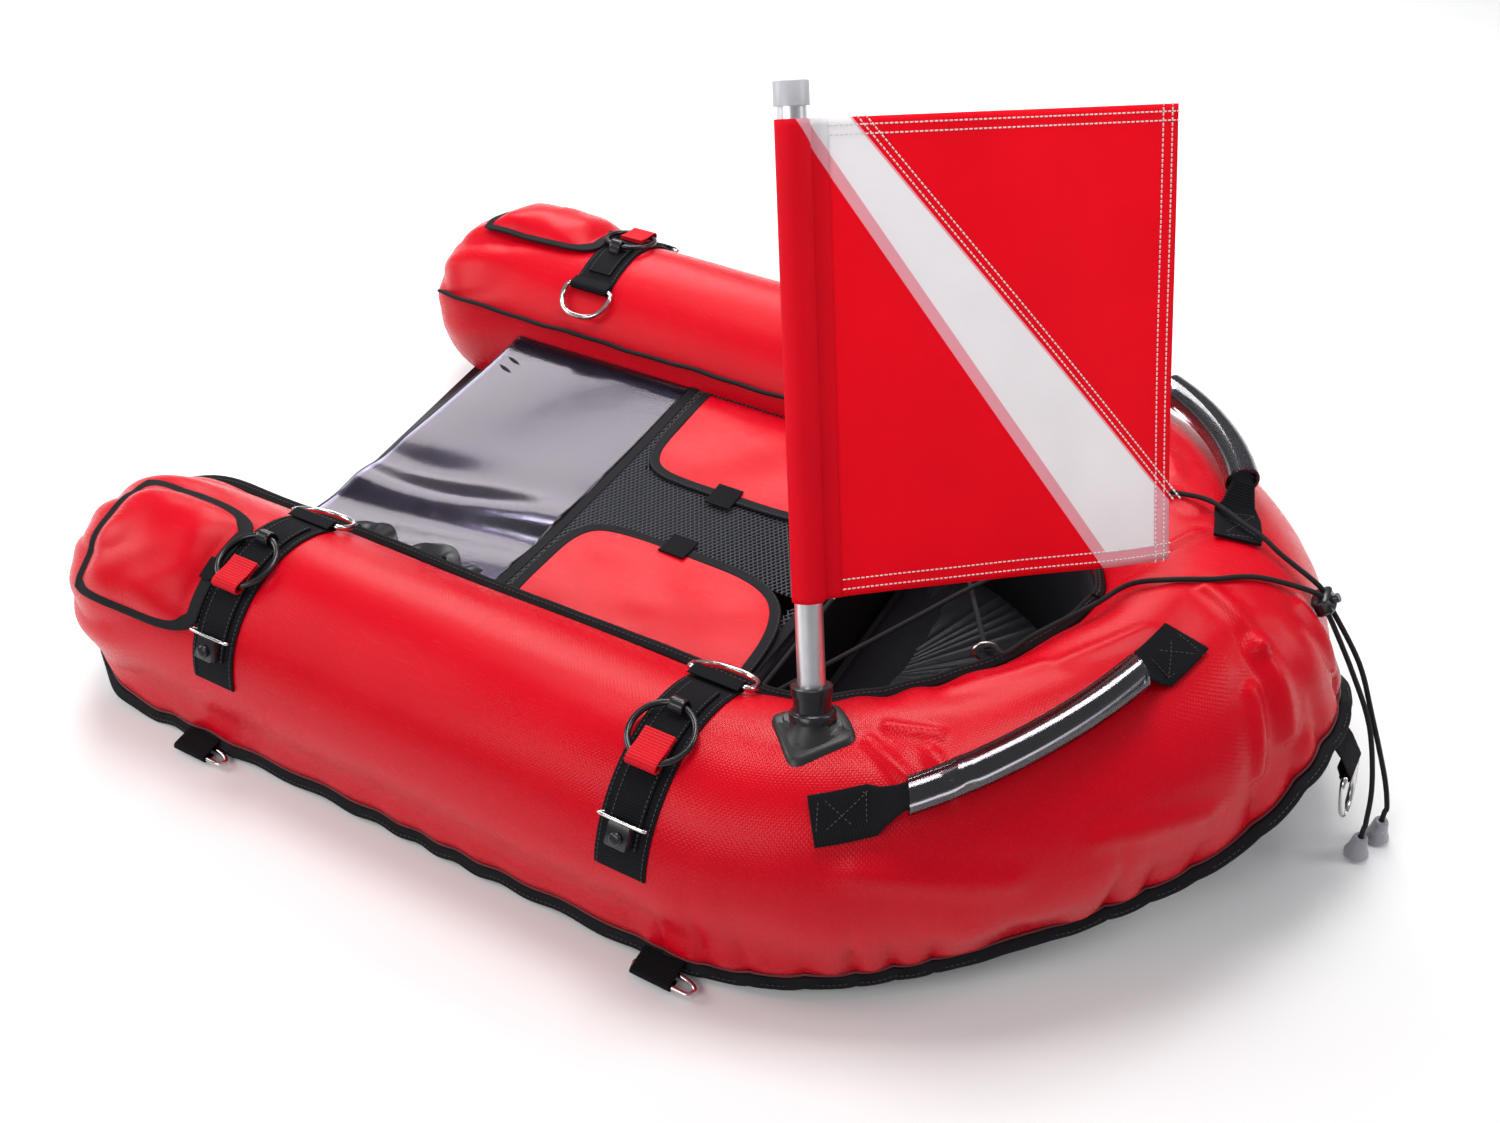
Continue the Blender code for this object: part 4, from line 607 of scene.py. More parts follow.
count = min(len(near_half), len(far_half))
floor_grid = np.concatenate([near_half[:count], far_half[:count, 1:]], 1)
lower = floor_grid - (0, 0, HULL_WALL)
made = skinned("hull_floor", np.concatenate([floor_grid, lower[:, ::-1]], 1), HULL)
fit(made, "float", "black_pvc", "hull_sheet")

seam_run = run_line[14:-14]
seam_angle = section(seam_run)[3]
at_bow, at_stern = np.abs(seam_run) < 0.41, np.abs(seam_run) > ARM_END - 0.02
flutter = 0.0011 * np.cos(2 * gather(seam_run)) * at_bow + 0.0006 * np.sin(seam_run / 0.02)
stern_wave = 0.002 * np.sin(seam_run / 0.016) * at_stern
edge_side = way(seam_run, seam_angle - 90)
path = surface(seam_run, seam_angle, 0.0069) + edge_side * (flutter + stern_wave)[:, None]
path[:, 2] = np.maximum(path[:, 2], 0.0022)
made = swept("hull_binding", path, way(seam_run, seam_angle), flat_section(0.0100, 0.0034), BINDING)
fit(made, "float", "black_webbing", "hull_binding")
CRIMSON = finish("dark red piping", (0.120, 0.003, 0.008), 0.42, "Ribs", 0.0011, 0.00008)
path = surface(seam_run, seam_angle - 1.6, 0.0008) + edge_side * (flutter * 0.5)[:, None]
fit(tube_of("seam_piping", path, 0.0015, 8, CRIMSON), "float", "red_pvc")


def line_nodes(name, *sizes):
    """A geometry node tree, its inputs, and the curves of the lines that it is given."""
    group = bpy.data.node_groups.new(name, "GeometryNodeTree")
    sockets = [("Geometry", "Geometry")] + [(size, "Float") for size in sizes] + [("Material", "Material")]
    for label, kind in sockets:
        group.interface.new_socket(label, in_out="INPUT", socket_type="NodeSocket" + kind)
    group.interface.new_socket("Geometry", in_out="OUTPUT", socket_type="NodeSocketGeometry")
    given = add(group, "NodeGroupInput").outputs
    return group, given, add(group, "GeometryNodeMeshToCurve", {"Mesh": given["Geometry"]}).outputs[0]


def end_nodes(group, given, made):
    """Ends a geometry node tree with real meshes in their material."""
    solid = add(group, "GeometryNodeRealizeInstances", {0: made}).outputs[0]
    dressed = add(group, "GeometryNodeSetMaterial", {"Geometry": solid, "Material": given["Material"]})
    add(group, "NodeGroupOutput", {0: dressed.outputs[0]})
    return group


def stitch_rows():
    """Geometry nodes that set a short thread on every stitch of a line."""
    group, given, curve = line_nodes("stitch rows", "Spacing", "Thread")
    points = add(group, "GeometryNodeCurveToPoints", {"Curve": curve, "Length": given["Spacing"]},
                 mode="LENGTH")
    length = calc(group, "MULTIPLY", given["Spacing"], 0.66)
    thread = add(group, "GeometryNodeMeshCylinder",
                 {"Vertices": 6, "Radius": given["Thread"], "Depth": length})
    threads = add(group, "GeometryNodeInstanceOnPoints", {"Points": points.outputs["Points"],
                                                          "Instance": thread.outputs["Mesh"],
                                                          "Rotation": points.outputs["Rotation"]})
    return end_nodes(group, given, threads.outputs[0])


def from_lines(name, lines, group, **inputs):
    """Turns lines of points into solid pieces with a geometry node tree, as one plain mesh."""
    points, edges = [], []
    for line in lines:
        first = len(points)
        points += np.asarray(line, float).tolist()
        edges += [(k, k + 1) for k in range(first, len(points) - 1)]
    mesh = bpy.data.meshes.new(name + "_lines")
    mesh.from_pydata(points, edges, [])
    made = bpy.data.objects.new(name, mesh)
    scene.collection.objects.link(made)
    step = made.modifiers.new(name, "NODES")
    step.node_group = group
    sockets = {s.name: s.identifier for s in group.interface.items_tree if s.in_out == "INPUT"}
    for label, value in inputs.items():
        step[sockets[label]] = value
    return settled(made)


STITCH_ROWS = stitch_rows()
BLACK_THREAD = finish("black thread", (0.030, 0.030, 0.034), 0.5)


def stitched(name, lines, body, finish_slot="black_webbing", thread=BLACK_THREAD, spacing=0.0042,
             radius=0.00045):
    """Rows of stitches along lines of points."""
    made = from_lines(name, lines, STITCH_ROWS, Spacing=spacing, Thread=radius, Material=thread)
    made.data.shade_smooth()
    return fit(made, body, finish_slot)


for side, label in SIDES:
    line = seam_run[np.sign(seam_run) == side]
    angle = section(line)[3]
    stitched("hull_stitches", [surface(line, angle, 0.0085) + way(line, angle - 90) * 0.0018], "float")

# Lashing tabs and rings, and the towing tab and ring.
# Each tab is webbing doubled round a steel ring and sewn into the hull's bound edge.

RING_Y, RING_Z, LASH_WIRE_R = 0.3605, 0.0052, 0.0020
TOW_X, TOW_Z, WIRE_R = 0.524, 0.100, 0.0025


def bent(x, z, radius, start, end, steps):
    """Points of webbing bent round a wire."""
    turn = np.radians(np.linspace(start, end, steps))
    return [(x + radius * math.cos(t), z + radius * math.sin(t)) for t in turn]


def ring_shape(half_width, depth, foot, corner, bar, steps, bar_steps):
    """Corners of a wire ring with one straight side: across from its middle, and away from that side."""
    turns = np.linspace(0, math.pi, steps)[1:-1]
    bow = [(half_width * np.sign(math.cos(t)) * abs(math.cos(t)) ** 0.8, 0.0045 + depth * math.sin(t) ** 0.9)
           for t in turns]
    ends = [(foot, 0.0), corner]
    foot_bar = [(a, 0.0) for a in np.linspace(-bar, bar, bar_steps)]
    return ends + bow + [(-a, b) for a, b in ends[::-1]] + foot_bar


for side, label in SIDES:
    for x, place in ((-0.3585, "stern"), (0.1200, "bow")):
        tag = "lash_ring_" + label + "_" + place
        pairs = [(0.3390, 0.0096), (0.3460, 0.0094), (0.3520, 0.0090)]
        pairs += bent(RING_Y, RING_Z, 0.0030, 90, -110, 12) + [(0.3525, 0.0022)]
        path = [(x, side * y, z) for y, z in pairs]
        made = swept("lash_tab", path, (1, 0, 0), flat_section(0.036, 0.0013, 10), WEBBING)
        fit(made, "float", "black_webbing")
        oval = ring_shape(0.027, 0.0075, 0.0225, (0.0256, 0.0012), 0.018, 26, 8)
        path = [(x + 0.008 + a, side * (RING_Y - b), RING_Z) for a, b in oval]
        made = swept("lash_ring", path, (0, 0, 1), round_section(LASH_WIRE_R, 14), STEEL, True)
        fit(made, tag, "steel", tag)
pairs = [(0.5060, 0.1310), (0.5120, 0.1250), (0.5180, 0.1180)]
pairs += bent(TOW_X, TOW_Z, 0.0038, 30, -190, 14) + [(0.5170, 0.1080)]
made = swept("tow_tab", [(x, 0, z) for x, z in pairs], (0, 1, 0), flat_section(0.030, 0.0013, 8), WEBBING)
fit(made, "float", "black_webbing")
down = unit(np.array((0.14, 0, -0.99)))
shape = ring_shape(0.0205, 0.0425, 0.0160, (0.0192, 0.0014), 0.012, 30, 7)
path = [np.array((TOW_X, a, TOW_Z)) + down * b for a, b in shape]
made = swept("tow_ring", path, np.cross((0, 1, 0), down), round_section(WIRE_R, 14), STEEL, True)
fit(made, "tow_ring", "steel", "tow_ring")

# Welts: the bound standing seams along the tube's inner side.
# At the bow each carries a webbing tab with the small wire ring that holds the lacing.

for side, label in SIDES:
    line = side * stepped((0.004, 0.42, ARM_END + 0.055), (110, 130))
    wave = 0.0006 * np.sin(line / 0.021) + 0.0004 * np.sin(line / 0.0083)
    across = way(line, WELT_ANGLE + 90)
    path = surface(line, WELT_ANGLE, 0.0056) + across * wave[:, None]
    made = swept("welt_" + label, path, way(line, WELT_ANGLE), flat_section(0.0098, 0.0032), BINDING)
    fit(made, "float", "black_webbing", "welt_" + label)
    path = surface(line, WELT_ANGLE, 0.0066) + across * (wave + 0.0017)[:, None]
    stitched("welt_stitches", [path], "float")
    root, hook, toward = anchor(side)
    along = unit(np.cross(toward, way(side * 0.16, 90.0)))
    path = smooth([root, (root + hook) / 2 + (0, 0, 0.001), hook], 4)
    fit(swept("anchor_tab", path, along, flat_section(0.012, 0.0018), WEBBING), "float", "black_webbing")
    up = unit(np.cross(along, toward))
    turn = np.linspace(0, 2 * math.pi, 30, endpoint=False)[:, None]
    path = hook - toward * 0.002 + np.cos(turn) * along * 0.0100 + np.sin(turn) * up * 0.0070
    fit(swept("anchor_ring", path, toward, round_section(0.0012, 12), STEEL, True), "float", "steel")

# Bow well: its black lining, and the wall between it and the hold.
# The lining is coated cloth, hung from the welts and laid over the hull.

LINING = finish("black lining cloth", (0.006, 0.006, 0.009), 0.8, "Weave", 0.0008, 0.00005,
                Specular_IOR_Level=0.2)
well_end = ARC + BOW_X - 0.098
line = np.linspace(-well_end, well_end, 150)
top = surface(line[:, None], np.array((20.0, 14.0, 8.0, 2.0, -4.0)), 0.0016)
foot = top[:, -1:].copy()
foot[..., 2] = 0.0040
made = solidified(skinned("well_lining", np.concatenate([top, foot], 1), LINING, False), 0.0008)
fit(made, "float", "black_pvc", "well_liner")
near_foot, far_foot = foot[:75], foot[:74:-1]
floor_grid = near_foot + (far_foot - near_foot) * np.linspace(0.01, 0.99, 40)[None, :, None]
slack = 0.0010 * np.sin(np.linspace(0, math.pi, 40))[None]
floor_grid[..., 2] += slack * np.sin(floor_grid[..., 0] / 0.019 + 2 * np.sin(floor_grid[..., 1] / 0.04))
fit(solidified(skinned("well_floor", floor_grid, LINING, False), 0.0008), "float", "black_pvc", "well_liner")
y_line, z_line = np.linspace(-0.163, 0.163, 30), np.linspace(0.005, 0.111, 10)
grid = np.array([[(0.092 + 0.0012 * math.sin(y * 46) * math.sin(z * 30), y, z) for z in z_line]
                 for y in y_line])
fit(solidified(skinned("hold_wall", grid, LINING, False), 0.0012), "float", "black_pvc", "hold_wall")

# Stern window: a clear PVC sheet sewn between the arms, astern of the hatches.
# It hangs slack in long folds, with a ruffle of black cloth along the near arm and two short slots at its far
# stern corner.

EDGE_Y = 0.1689


def see_through(name, tint, shine_colour, rough, ior, depth):
    """A clear plastic: what is behind it in a tint, under its reflections."""
    made, tree, wear = worn_material(name)
    tree.nodes.remove(tree.nodes["Principled BSDF"])
    bump = add(tree, "ShaderNodeBump", {"Height": wear["Blotch"], "Distance": depth}).outputs[0]
    see = add(tree, "ShaderNodeBsdfTransparent", {"Color": tint})
    gloss = calc(tree, "MULTIPLY_ADD", wear["Scuff"], 0.10, rough)
    shine = add(tree, "ShaderNodeBsdfGlossy", {"Color": shine_colour, "Roughness": gloss, "Normal": bump})
    edge = add(tree, "ShaderNodeFresnel", {"IOR": ior, "Normal": bump})
    both = add(tree, "ShaderNodeMixShader", {0: edge.outputs[0], 1: see.outputs[0], 2: shine.outputs[0]})
    wire(tree, tree.nodes["Material Output"], {"Surface": both.outputs[0]})
    return made


CLEAR = see_through("clear PVC sheet", (0.50, 0.52, 0.57, 1), (0.92, 0.85, 0.94, 1), 0.13, 1.42, 0.0004)


def deck(x, y, folds):
    """Height of the slack deck between the arms."""
    v = y / EDGE_Y
    free = 1 - v ** 6
    ripple = 0.0026 * np.sin(y / 0.014 + 1.6 * np.sin(x / 0.075)) * np.exp(-((y + 0.085) / 0.055) ** 2)
    ripple = ripple + 0.0010 * np.sin(x / 0.034 - y / 0.060)
    return 0.119 - 0.006 * (1 - v * v) + folds * free * ripple


x_grid, y_grid = np.meshgrid(np.linspace(-0.375, -0.1654, 70), np.linspace(-EDGE_Y, EDGE_Y, 110),
                             indexing="ij")
window = skinned("window", np.stack([x_grid, y_grid, deck(x_grid, y_grid, 1.0)], -1), CLEAR, False)
fit(solidified(window, 0.0007), "float", "clear_pvc", "deck_window")
hem_x = np.linspace(-0.346, -0.180, 90)
hem_y = -0.1500 + 0.0060 * np.sin(hem_x / 0.0125 + 0.8) + 0.0030 * np.sin(hem_x / 0.0052)
hem_z = deck(hem_x, hem_y, 1.0) + 0.0040 + 0.0016 * np.sin(hem_x / 0.0080)
hem_way = np.stack([0.2 * np.sin(hem_x / 0.011), np.ones(90), 0.5 * np.sin(hem_x / 0.0095 + 1)], 1)
made = swept("window_hem", np.stack([hem_x, hem_y, hem_z], 1), hem_way, flat_section(0.0130, 0.0009), HULL)
fit(made, "float", "black_pvc")
for y in (0.1180, 0.1330):
    k = np.linspace(0, 2, 9)
    slot_x, slot_y = -0.3620 + 0.0085 * k, y - 0.0030 * k
    path = np.stack([slot_x, slot_y, deck(slot_x, slot_y, 1.0) + 0.0006], 1)
    widths = 0.0030 * np.sin(np.linspace(0.15, math.pi - 0.15, 9)) + 0.0008
    sections = np.array([flat_section(w, 0.0006) for w in widths])
    fit(swept("window_slot", path, (0, 1, 0), sections, BINDING), "float", "black_webbing")

# Mesh deck: diamond netting over the hold, with a hatch under each lid.
# It is knitted nylon, drawn flat between the arms and bound at its edges.

NETTING = finish("nylon netting", (0.030, 0.037, 0.048), 0.5)
HATCH_X, HATCH_Y = -0.0305, 0.1035


def net_lines():
    """The strands of the netting as lines on the deck, both ways."""
    low_x, high_x, pitch, lean = -0.1646, 0.088, 0.0046, 0.62
    lines = []
    for slope in (-1, 1):
        for start in np.arange(low_x - 0.36, high_x + 0.36, pitch):
            y = np.linspace(-EDGE_Y, EDGE_Y, 45)
            x = start + (EDGE_Y + slope * y) * lean
            hatch = (np.abs(x - HATCH_X) < 0.104) & (np.abs(np.abs(y) - HATCH_Y) < 0.0535)
            keep = (x >= low_x) & (x <= high_x) & ~hatch
            for piece in np.split(np.arange(len(y)), np.flatnonzero(np.diff(keep.astype(int))) + 1):
                if keep[piece[0]] and len(piece) > 1:
                    height = deck(x[piece], y[piece], 0.0) + 0.0002 * slope
                    lines.append(np.stack([x[piece], y[piece], height], 1))
    return lines


def net_nodes():
    """Geometry nodes that make each strand of the netting a thin cord."""
    group, given, curve = line_nodes("netting", "Strand")
    ring = add(group, "GeometryNodeCurvePrimitiveCircle", {"Resolution": 5, "Radius": given["Strand"]})
    cords = add(group, "GeometryNodeCurveToMesh", {"Curve": curve, "Profile Curve": ring.outputs[0],
                                                   "Fill Caps": True})
    return end_nodes(group, given, cords.outputs[0])


net = from_lines("netting", net_lines(), net_nodes(), Strand=0.00075, Material=NETTING)
fit(net, "float", "black_mesh", "mesh_panel")
for x in (-0.1600, 0.0850):
    y_line = np.linspace(-EDGE_Y, EDGE_Y, 40)
    path = np.stack([np.full(40, x), y_line, deck(y_line * 0 + x, y_line, 0.0) + 0.0006], 1)
    fit(swept("deck_edge", path, (1, 0, 0), flat_section(0.010, 0.0016), BINDING), "float", "black_webbing")

# Lids over the hold, one beside each arm.
# Red coated cloth with a webbing binding round the edge and a hook-and-loop tab that holds it to the netting.

LID_REACH = 0.128


def lid_point(side, x, reach, height=0.0):
    """A point on a lid, from its length, its reach in from the hinge and its height above the cloth."""
    full = math.sin(math.pi * min(max(reach / LID_REACH, 0), 1))
    slack = 0.0016 * math.sin(x / 0.019 + reach / 0.024 + side) + 0.0009 * math.sin(x / 0.034 - reach / 0.011)
    swell = 0.0018 * full + slack * full * (1 - (x / 0.118) ** 4)
    drop = 0.0050 * reach / LID_REACH
    return (HATCH_X + x, side * (0.164 - reach), 0.1206 - drop + swell + height)


def round_off(a, b):
    """Moves points of a square's far corners onto round ones."""
    if b <= 0:
        return a, b
    power = 7.0 if a < 0 else 3.4
    pull = max(abs(a), b) / (abs(a) ** power + b ** power) ** (1 / power)
    return a * pull, b * pull


for side, label in SIDES:
    body = "lid_" + label
    square = [[round_off(i / 30 - 1, j / 36) for j in range(37)] for i in range(61)]
    grid = np.array([[lid_point(side, a * 0.116, b * 0.126) for a, b in row] for row in square])
    made = solidified(skinned(body, grid, RED, False), 0.0012)
    fit(made, body, "red_pvc", body)
    border = [round_off(-1, j / 30) for j in range(31)] + [round_off(i / 30 - 1, 1) for i in range(1, 61)]
    border += [round_off(1, 1 - j / 30) for j in range(1, 31)]
    path = np.array([lid_point(side, a * 0.1125, b * 0.1225) for a, b in border])
    across = np.cross(unit(np.gradient(path, axis=0)), (0, 0, 1.0))
    fit(swept("lid_binding", path, across, flat_section(0.0105, 0.0026), BINDING), body, "black_webbing")
    stitched("lid_stitches", [path + across * 0.0036 * side + (0, 0, 0.0013)], body, spacing=0.0036)
    path = [lid_point(side, -0.018, reach, 0.0022) for reach in np.linspace(0.112, 0.1385, 8)]
    fit(swept("lid_tab", path, (1, 0, 0), flat_section(0.026, 0.0016, 8), WEBBING), body, "black_webbing")

# Air valves with their flaps.
# Each valve is moulded rubber clamped through the cover. Its flap is a red cloth cap, bound in webbing,
# sewn on at the stern edge and held by a pointed tab.

RUBBER = finish("black rubber", (0.012, 0.012, 0.013), 0.42, depth=0.00004)


def flap_point(side, u, v, lift=0.0):
    """A point on a flap: u from its hinge to its free end, v round the tube."""
    u, v = np.asarray(u, float), np.asarray(v, float)
    narrow = (1 - (0.985 * np.clip(u, 0, 1)) ** 6) ** (1 / 6)
    dome = 0.0130 * (1 - (2 * np.minimum(u / 0.92, 1) - 1) ** 4) * (1 - v ** 4)
    crease = 0.0008 * np.sin(u * 16 + v * 3) * np.sin(v * 6 + 1) * (1 - v ** 4) * (1 - (2 * u - 1) ** 4)
    return surface(run_at(side, -0.4575 + 0.1305 * u), 115 + 35 * narrow * v, 0.0030 + dome + crease + lift)


for side, label in SIDES:
    for name in ("valve_", "valve_cap_"):
        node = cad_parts[name + label]
        node.data.materials.clear()
        node.data.materials.append(RUBBER)
    body = "valve_flap_" + label
    u, v = np.meshgrid(np.linspace(0, 1, 46), np.linspace(-1, 1, 46), indexing="ij")
    made = solidified(skinned("flap_" + label, flap_point(side, u, v), RED, False), 0.0012)
    fit(made, body, "red_pvc", body)
    t, inset = np.linspace(0, 1, 40), np.full(40, 0.96)
    edge_u = np.concatenate([t * 0.985, np.full(30, 0.985), t[::-1] * 0.985, np.zeros(20)])
    edge_v = np.concatenate([-inset, np.linspace(-0.96, 0.96, 32)[1:-1], inset,
                             np.linspace(0.96, -0.96, 22)[1:-1]])
    path = flap_point(side, edge_u, edge_v, 0.0004)
    up = way(np.full(len(edge_u), run_at(side, -0.39)), 115 + 35 * edge_v * 0.9)
    across = np.cross(unit(np.roll(path, -1, 0) - np.roll(path, 1, 0)), up)
    made = swept("flap_binding", path, across, flat_section(0.0125, 0.0026), BINDING, True)
    fit(made, body, "black_webbing")
    u_tab = np.linspace(0.93, 1.06, 7)
    path = flap_point(side, u_tab, u_tab * 0, 0.0025)
    sections = np.array([flat_section(w, 0.0016) for w in (0.020, 0.020, 0.020, 0.020, 0.018, 0.010, 0.003)])
    fit(swept("flap_tab", path, way(run_at(side, -0.33), 205.0), sections, WEBBING), body, "black_webbing")

# Gun straps: four sets of webbing patch, D-ring, strap with its two hooks, round ring and ribbed pull tab.
# The patch is wide webbing sewn to the cover and looped round the D-ring. The strap is narrow webbing sewn on
# it, with a moulded hook for the ring at the top and a wire bracket with a buckle at its lower end.

TAB_RED = finish("red ribbed webbing", (0.600, 0.003, 0.012), 0.55, "Ribs", 0.0024, 0.00045,
                 Specular_IOR_Level=0.15)
RING_R = 0.025


def arm_place(side, x, angle, lift):
    """On an arm: X forward, Y towards smaller angles, Z out of the tube."""
    run = run_at(side, x)
    origin = section(run)[0] + way(run, angle) * (TUBE_R + lift)
    toward, out = way(run, angle - 90), way(run, angle)
    return Matrix(((1, 0, 0, origin[0]), (0, toward[1], out[1], origin[1]), (0, toward[2], out[2], origin[2]),
                   (0, 0, 0, 1)))


def ring_in(name, place, shape, material, body, finish_slot):
    """A wire ring that lies flat in a placement, on a moving body of its own."""
    normal = np.array(place.to_3x3() @ Vector((0, 0, 1)))
    path = placed(place, [(a, b, 0) for a, b in shape])
    fit(swept(name, path, normal, round_section(WIRE_R, 16), material, True), body, finish_slot, body)


for side, label in SIDES:
    for x, end in ((-0.3035, "stern"), (0.0965, "bow")):
        tag = label + "_" + end
        run = run_at(side, x)
        fold = [(0, a, h) for a, h in bent(0, 0.0048, 0.0038, -90, 130, 14) + [(-0.0100, 0.0034)]]
        path = np.vstack([surface(run, np.linspace(171, 63, 60), 0.0012),
                          placed(arm_place(side, x, 57.0, 0.0), fold)])
        made = swept("strap_patch", path, (1, 0, 0), flat_section(0.044, 0.0012, 12), WEBBING)
        fit(made, "float", "black_webbing", "strap_patch_" + tag)
        edges = [surface(run_at(side, x + s * 0.0192), np.linspace(170, 66, 40), 0.0020) for s in (-1, 1)]
        stitched("patch_stitches", edges, "float", spacing=0.0038)
        shape = ring_shape(0.0275, 0.0275, 0.0230, (0.0262, 0.0014), 0.018, 34, 9)
        ring_in("D_ring", arm_place(side, x, 57.0, 0.0048), shape, STEEL, "d_ring_" + tag, "steel")
        path = surface(run, np.linspace(69, 156, 60), 0.0030)
        made = swept("gun_strap", path, (1, 0, 0), flat_section(0.027, 0.0016, 10), WEBBING)
        fit(made, "float", "black_webbing", "gun_strap_" + tag)
        lines = [surface(run_at(side, x + s * 0.0118), np.linspace(70, 155, 40), 0.0039) for s in (-1, 1)]
        stitched("strap_stitches", lines, "float", spacing=0.0036)
        pivot = 0.0099
        hook = smooth([(0, 0.0065, 0.0026), (0, 0.0060, pivot - 0.0029), (0, 0.0044, pivot + 0.0016),
                       (0, 0.0, pivot + 0.0046), (0, -0.0042, pivot + 0.0030), (0, -0.0056, pivot - 0.0009),
                       (0, -0.0054, pivot - 0.0034)], 5)
        path = placed(arm_place(side, x, 90.38, 0.0), hook)
        fit(swept("hook", path, (1, 0, 0), flat_section(0.0125, 0.0022), MOULDED), "float", "black_gloss")
        place = arm_place(side, x, 147.0, 0.0)
        bracket = [(0.0175, 0.0052, 0.0040), (0.0175, 0.0052, 0.0100), (-0.0175, 0.0052, 0.0100),
                   (-0.0175, 0.0052, 0.0040)]
        fit(tube_of("bracket", placed(place, smooth(bracket, 6)), 0.0013, 12, STEEL), "float", "steel")
        corners = ((-0.0100, 0.0), (0.0100, 0.0), (0.0104, 0.0034), (0.0088, 0.0076), (-0.0088, 0.0076),
                   (-0.0104, 0.0034))
        block = [placed(place, [(a * s, b, 0.0036 + h * s) for a, h in corners])
                 for b, s in ((-0.0150, 0.88), (-0.0138, 1.0), (0.0022, 1.0), (0.0036, 0.92))]
        fit(skinned("buckle", np.array(block), MOULDED), "float", "black_gloss")
        knob = [(0.0052, 0.0), (0.0054, 0.0014), (0.0048, 0.0028), (0.0036, 0.0033)]
        knob_place = place @ Matrix.Translation((0.0, -0.0075, 0.0112))
        fit(lathe("knob", knob, knob_place, 24, MOULDED, False), "float", "black_gloss")
        place = arm_place(side, x, 104.5, 0.0068)
        turn = np.linspace(0, 2 * math.pi, 64, endpoint=False)
        shape = [(RING_R * math.cos(t), RING_R * math.sin(t)) for t in turn]
        ring_in("gun_ring", place, shape, MOULDED, "gun_ring_" + tag, "black_gloss")
        shape = smooth([(RING_R, 0.0016), (0.036, 0.0018), (0.0435, 0.0030), (0.0500, 0.0040),
                        (0.0545, 0.0022), (0.0545, -0.0022), (0.0500, -0.0040), (0.0440, -0.0022),
                        (0.036, -0.0008), (RING_R, -0.0006)], 4)
        path = placed(place, [(0, RING_R - a, h) for a, h in shape])
        made = swept("pull_tab", path, (1, 0, 0), flat_section(0.026, 0.0014, 8), TAB_RED)
        fit(made, "gun_ring_" + tag, "red_webbing", "pull_tab_" + tag)

# Carrying handles on the bow.
# Webbing sewn down at both ends in square, cross-stitched patches, run through a length of clear smoky hose.

HOSE = see_through("clear smoky hose", (0.80, 0.78, 0.81, 1), (0.98, 0.97, 1.0, 1), 0.10, 1.7, 0.0)
HOLD_FROM, HOLD_TO, HOLD_LIFT = 0.132, 0.298, 0.0205


def handle_angle(along):
    """A handle's angle on the tube, from its length along the bow's curve."""
    return 121 - 19 * (along - HOLD_FROM) / (HOLD_TO - HOLD_FROM)


for side, label in SIDES:
    stations = [(HOLD_FROM - 0.052 + 0.036 * k / 8, 0.0026, 0.036) for k in range(9)]
    stations.append((HOLD_FROM - 0.010, 0.0075, 0.027))
    stations += [(HOLD_FROM + (HOLD_TO - HOLD_FROM) * k / 16, HOLD_LIFT, 0.019) for k in range(17)]
    stations.append((HOLD_TO + 0.010, 0.0075, 0.027))
    stations += [(HOLD_TO + 0.016 + 0.036 * k / 8, 0.0026, 0.036) for k in range(9)]
    along, lift, width = np.array(stations).T
    run, angle = side * (ARC - along), handle_angle(along)
    sections = np.array([flat_section(w, 0.0025, 8) for w in width])
    made = swept("handle_webbing", surface(run, angle, lift), way(run, angle + 90), sections, WEBBING)
    fit(made, "float", "black_webbing", "handle_webbing_" + label)
    sewn = []
    for middle in (HOLD_FROM - 0.034, HOLD_TO + 0.034):
        for corners in (((-1, -1), (1, -1), (1, 1), (-1, 1), (-1, -1)), ((-1, -1), (1, 1)),
                        ((-1, 1), (1, -1))):
            ends = np.array(corners) * 0.0145
            share = np.linspace(0, len(ends) - 1, 12 * (len(ends) - 1) + 1)
            off_run, off_round = [np.interp(share, np.arange(len(ends)), ends[:, k]) for k in (0, 1)]
            angle = handle_angle(middle) + np.degrees(off_round / TUBE_R)
            sewn.append(surface(side * (ARC - middle - off_run), angle, 0.0040))
    stitched("handle_stitches", sewn, "float", spacing=0.0034)
    along = np.linspace(HOLD_FROM + 0.004, HOLD_TO - 0.004, 40)
    run, angle = side * (ARC - along), handle_angle(along)
    there_and_back = np.concatenate([np.arange(40), np.arange(40)[::-1]])
    path, across, out = [part[there_and_back][:, None] for part in
                         (surface(run, angle, HOLD_LIFT), way(run, angle + 90), way(run, angle))]
    radius = np.repeat((0.0135, 0.0112), 40)[:, None, None]
    turn = (np.arange(28) * 2 * math.pi / 28)[None, :, None]
    grid = path + radius * (across * np.cos(turn) + out * np.sin(turn))
    fit(skinned("handle_hose", grid, HOSE, True, True), "float", "smoky_hose", "handle_grip_" + label)

# Mast base, mast and cap.
# The base is a moulded rubber square glued to the cover, with a socket and a glossy collar. The mast is a
# satin aluminium tube with a pale plastic cap pushed on.

FOOT = Vector((0.1905, -0.2300, 0.1840))
LEAN = Vector((-0.2310, 0.3850, 0.8930)).normalized()
FLY = Vector((0.7090, 0.6950, -0.1160))
PLATE_TOP = 0.0141
MAST_R, MAST_TOP = 0.0100, 0.4440


def placement(origin, x_way, z_way):
    """A placement with Z on z_way and X near x_way."""
    z = Vector(z_way).normalized()
    y = z.cross(Vector(x_way)).normalized()
    x = y.cross(z)
    return Matrix(((x.x, y.x, z.x, origin[0]), (x.y, y.y, z.y, origin[1]), (x.z, y.z, z.z, origin[2]),
                   (0, 0, 0, 1)))


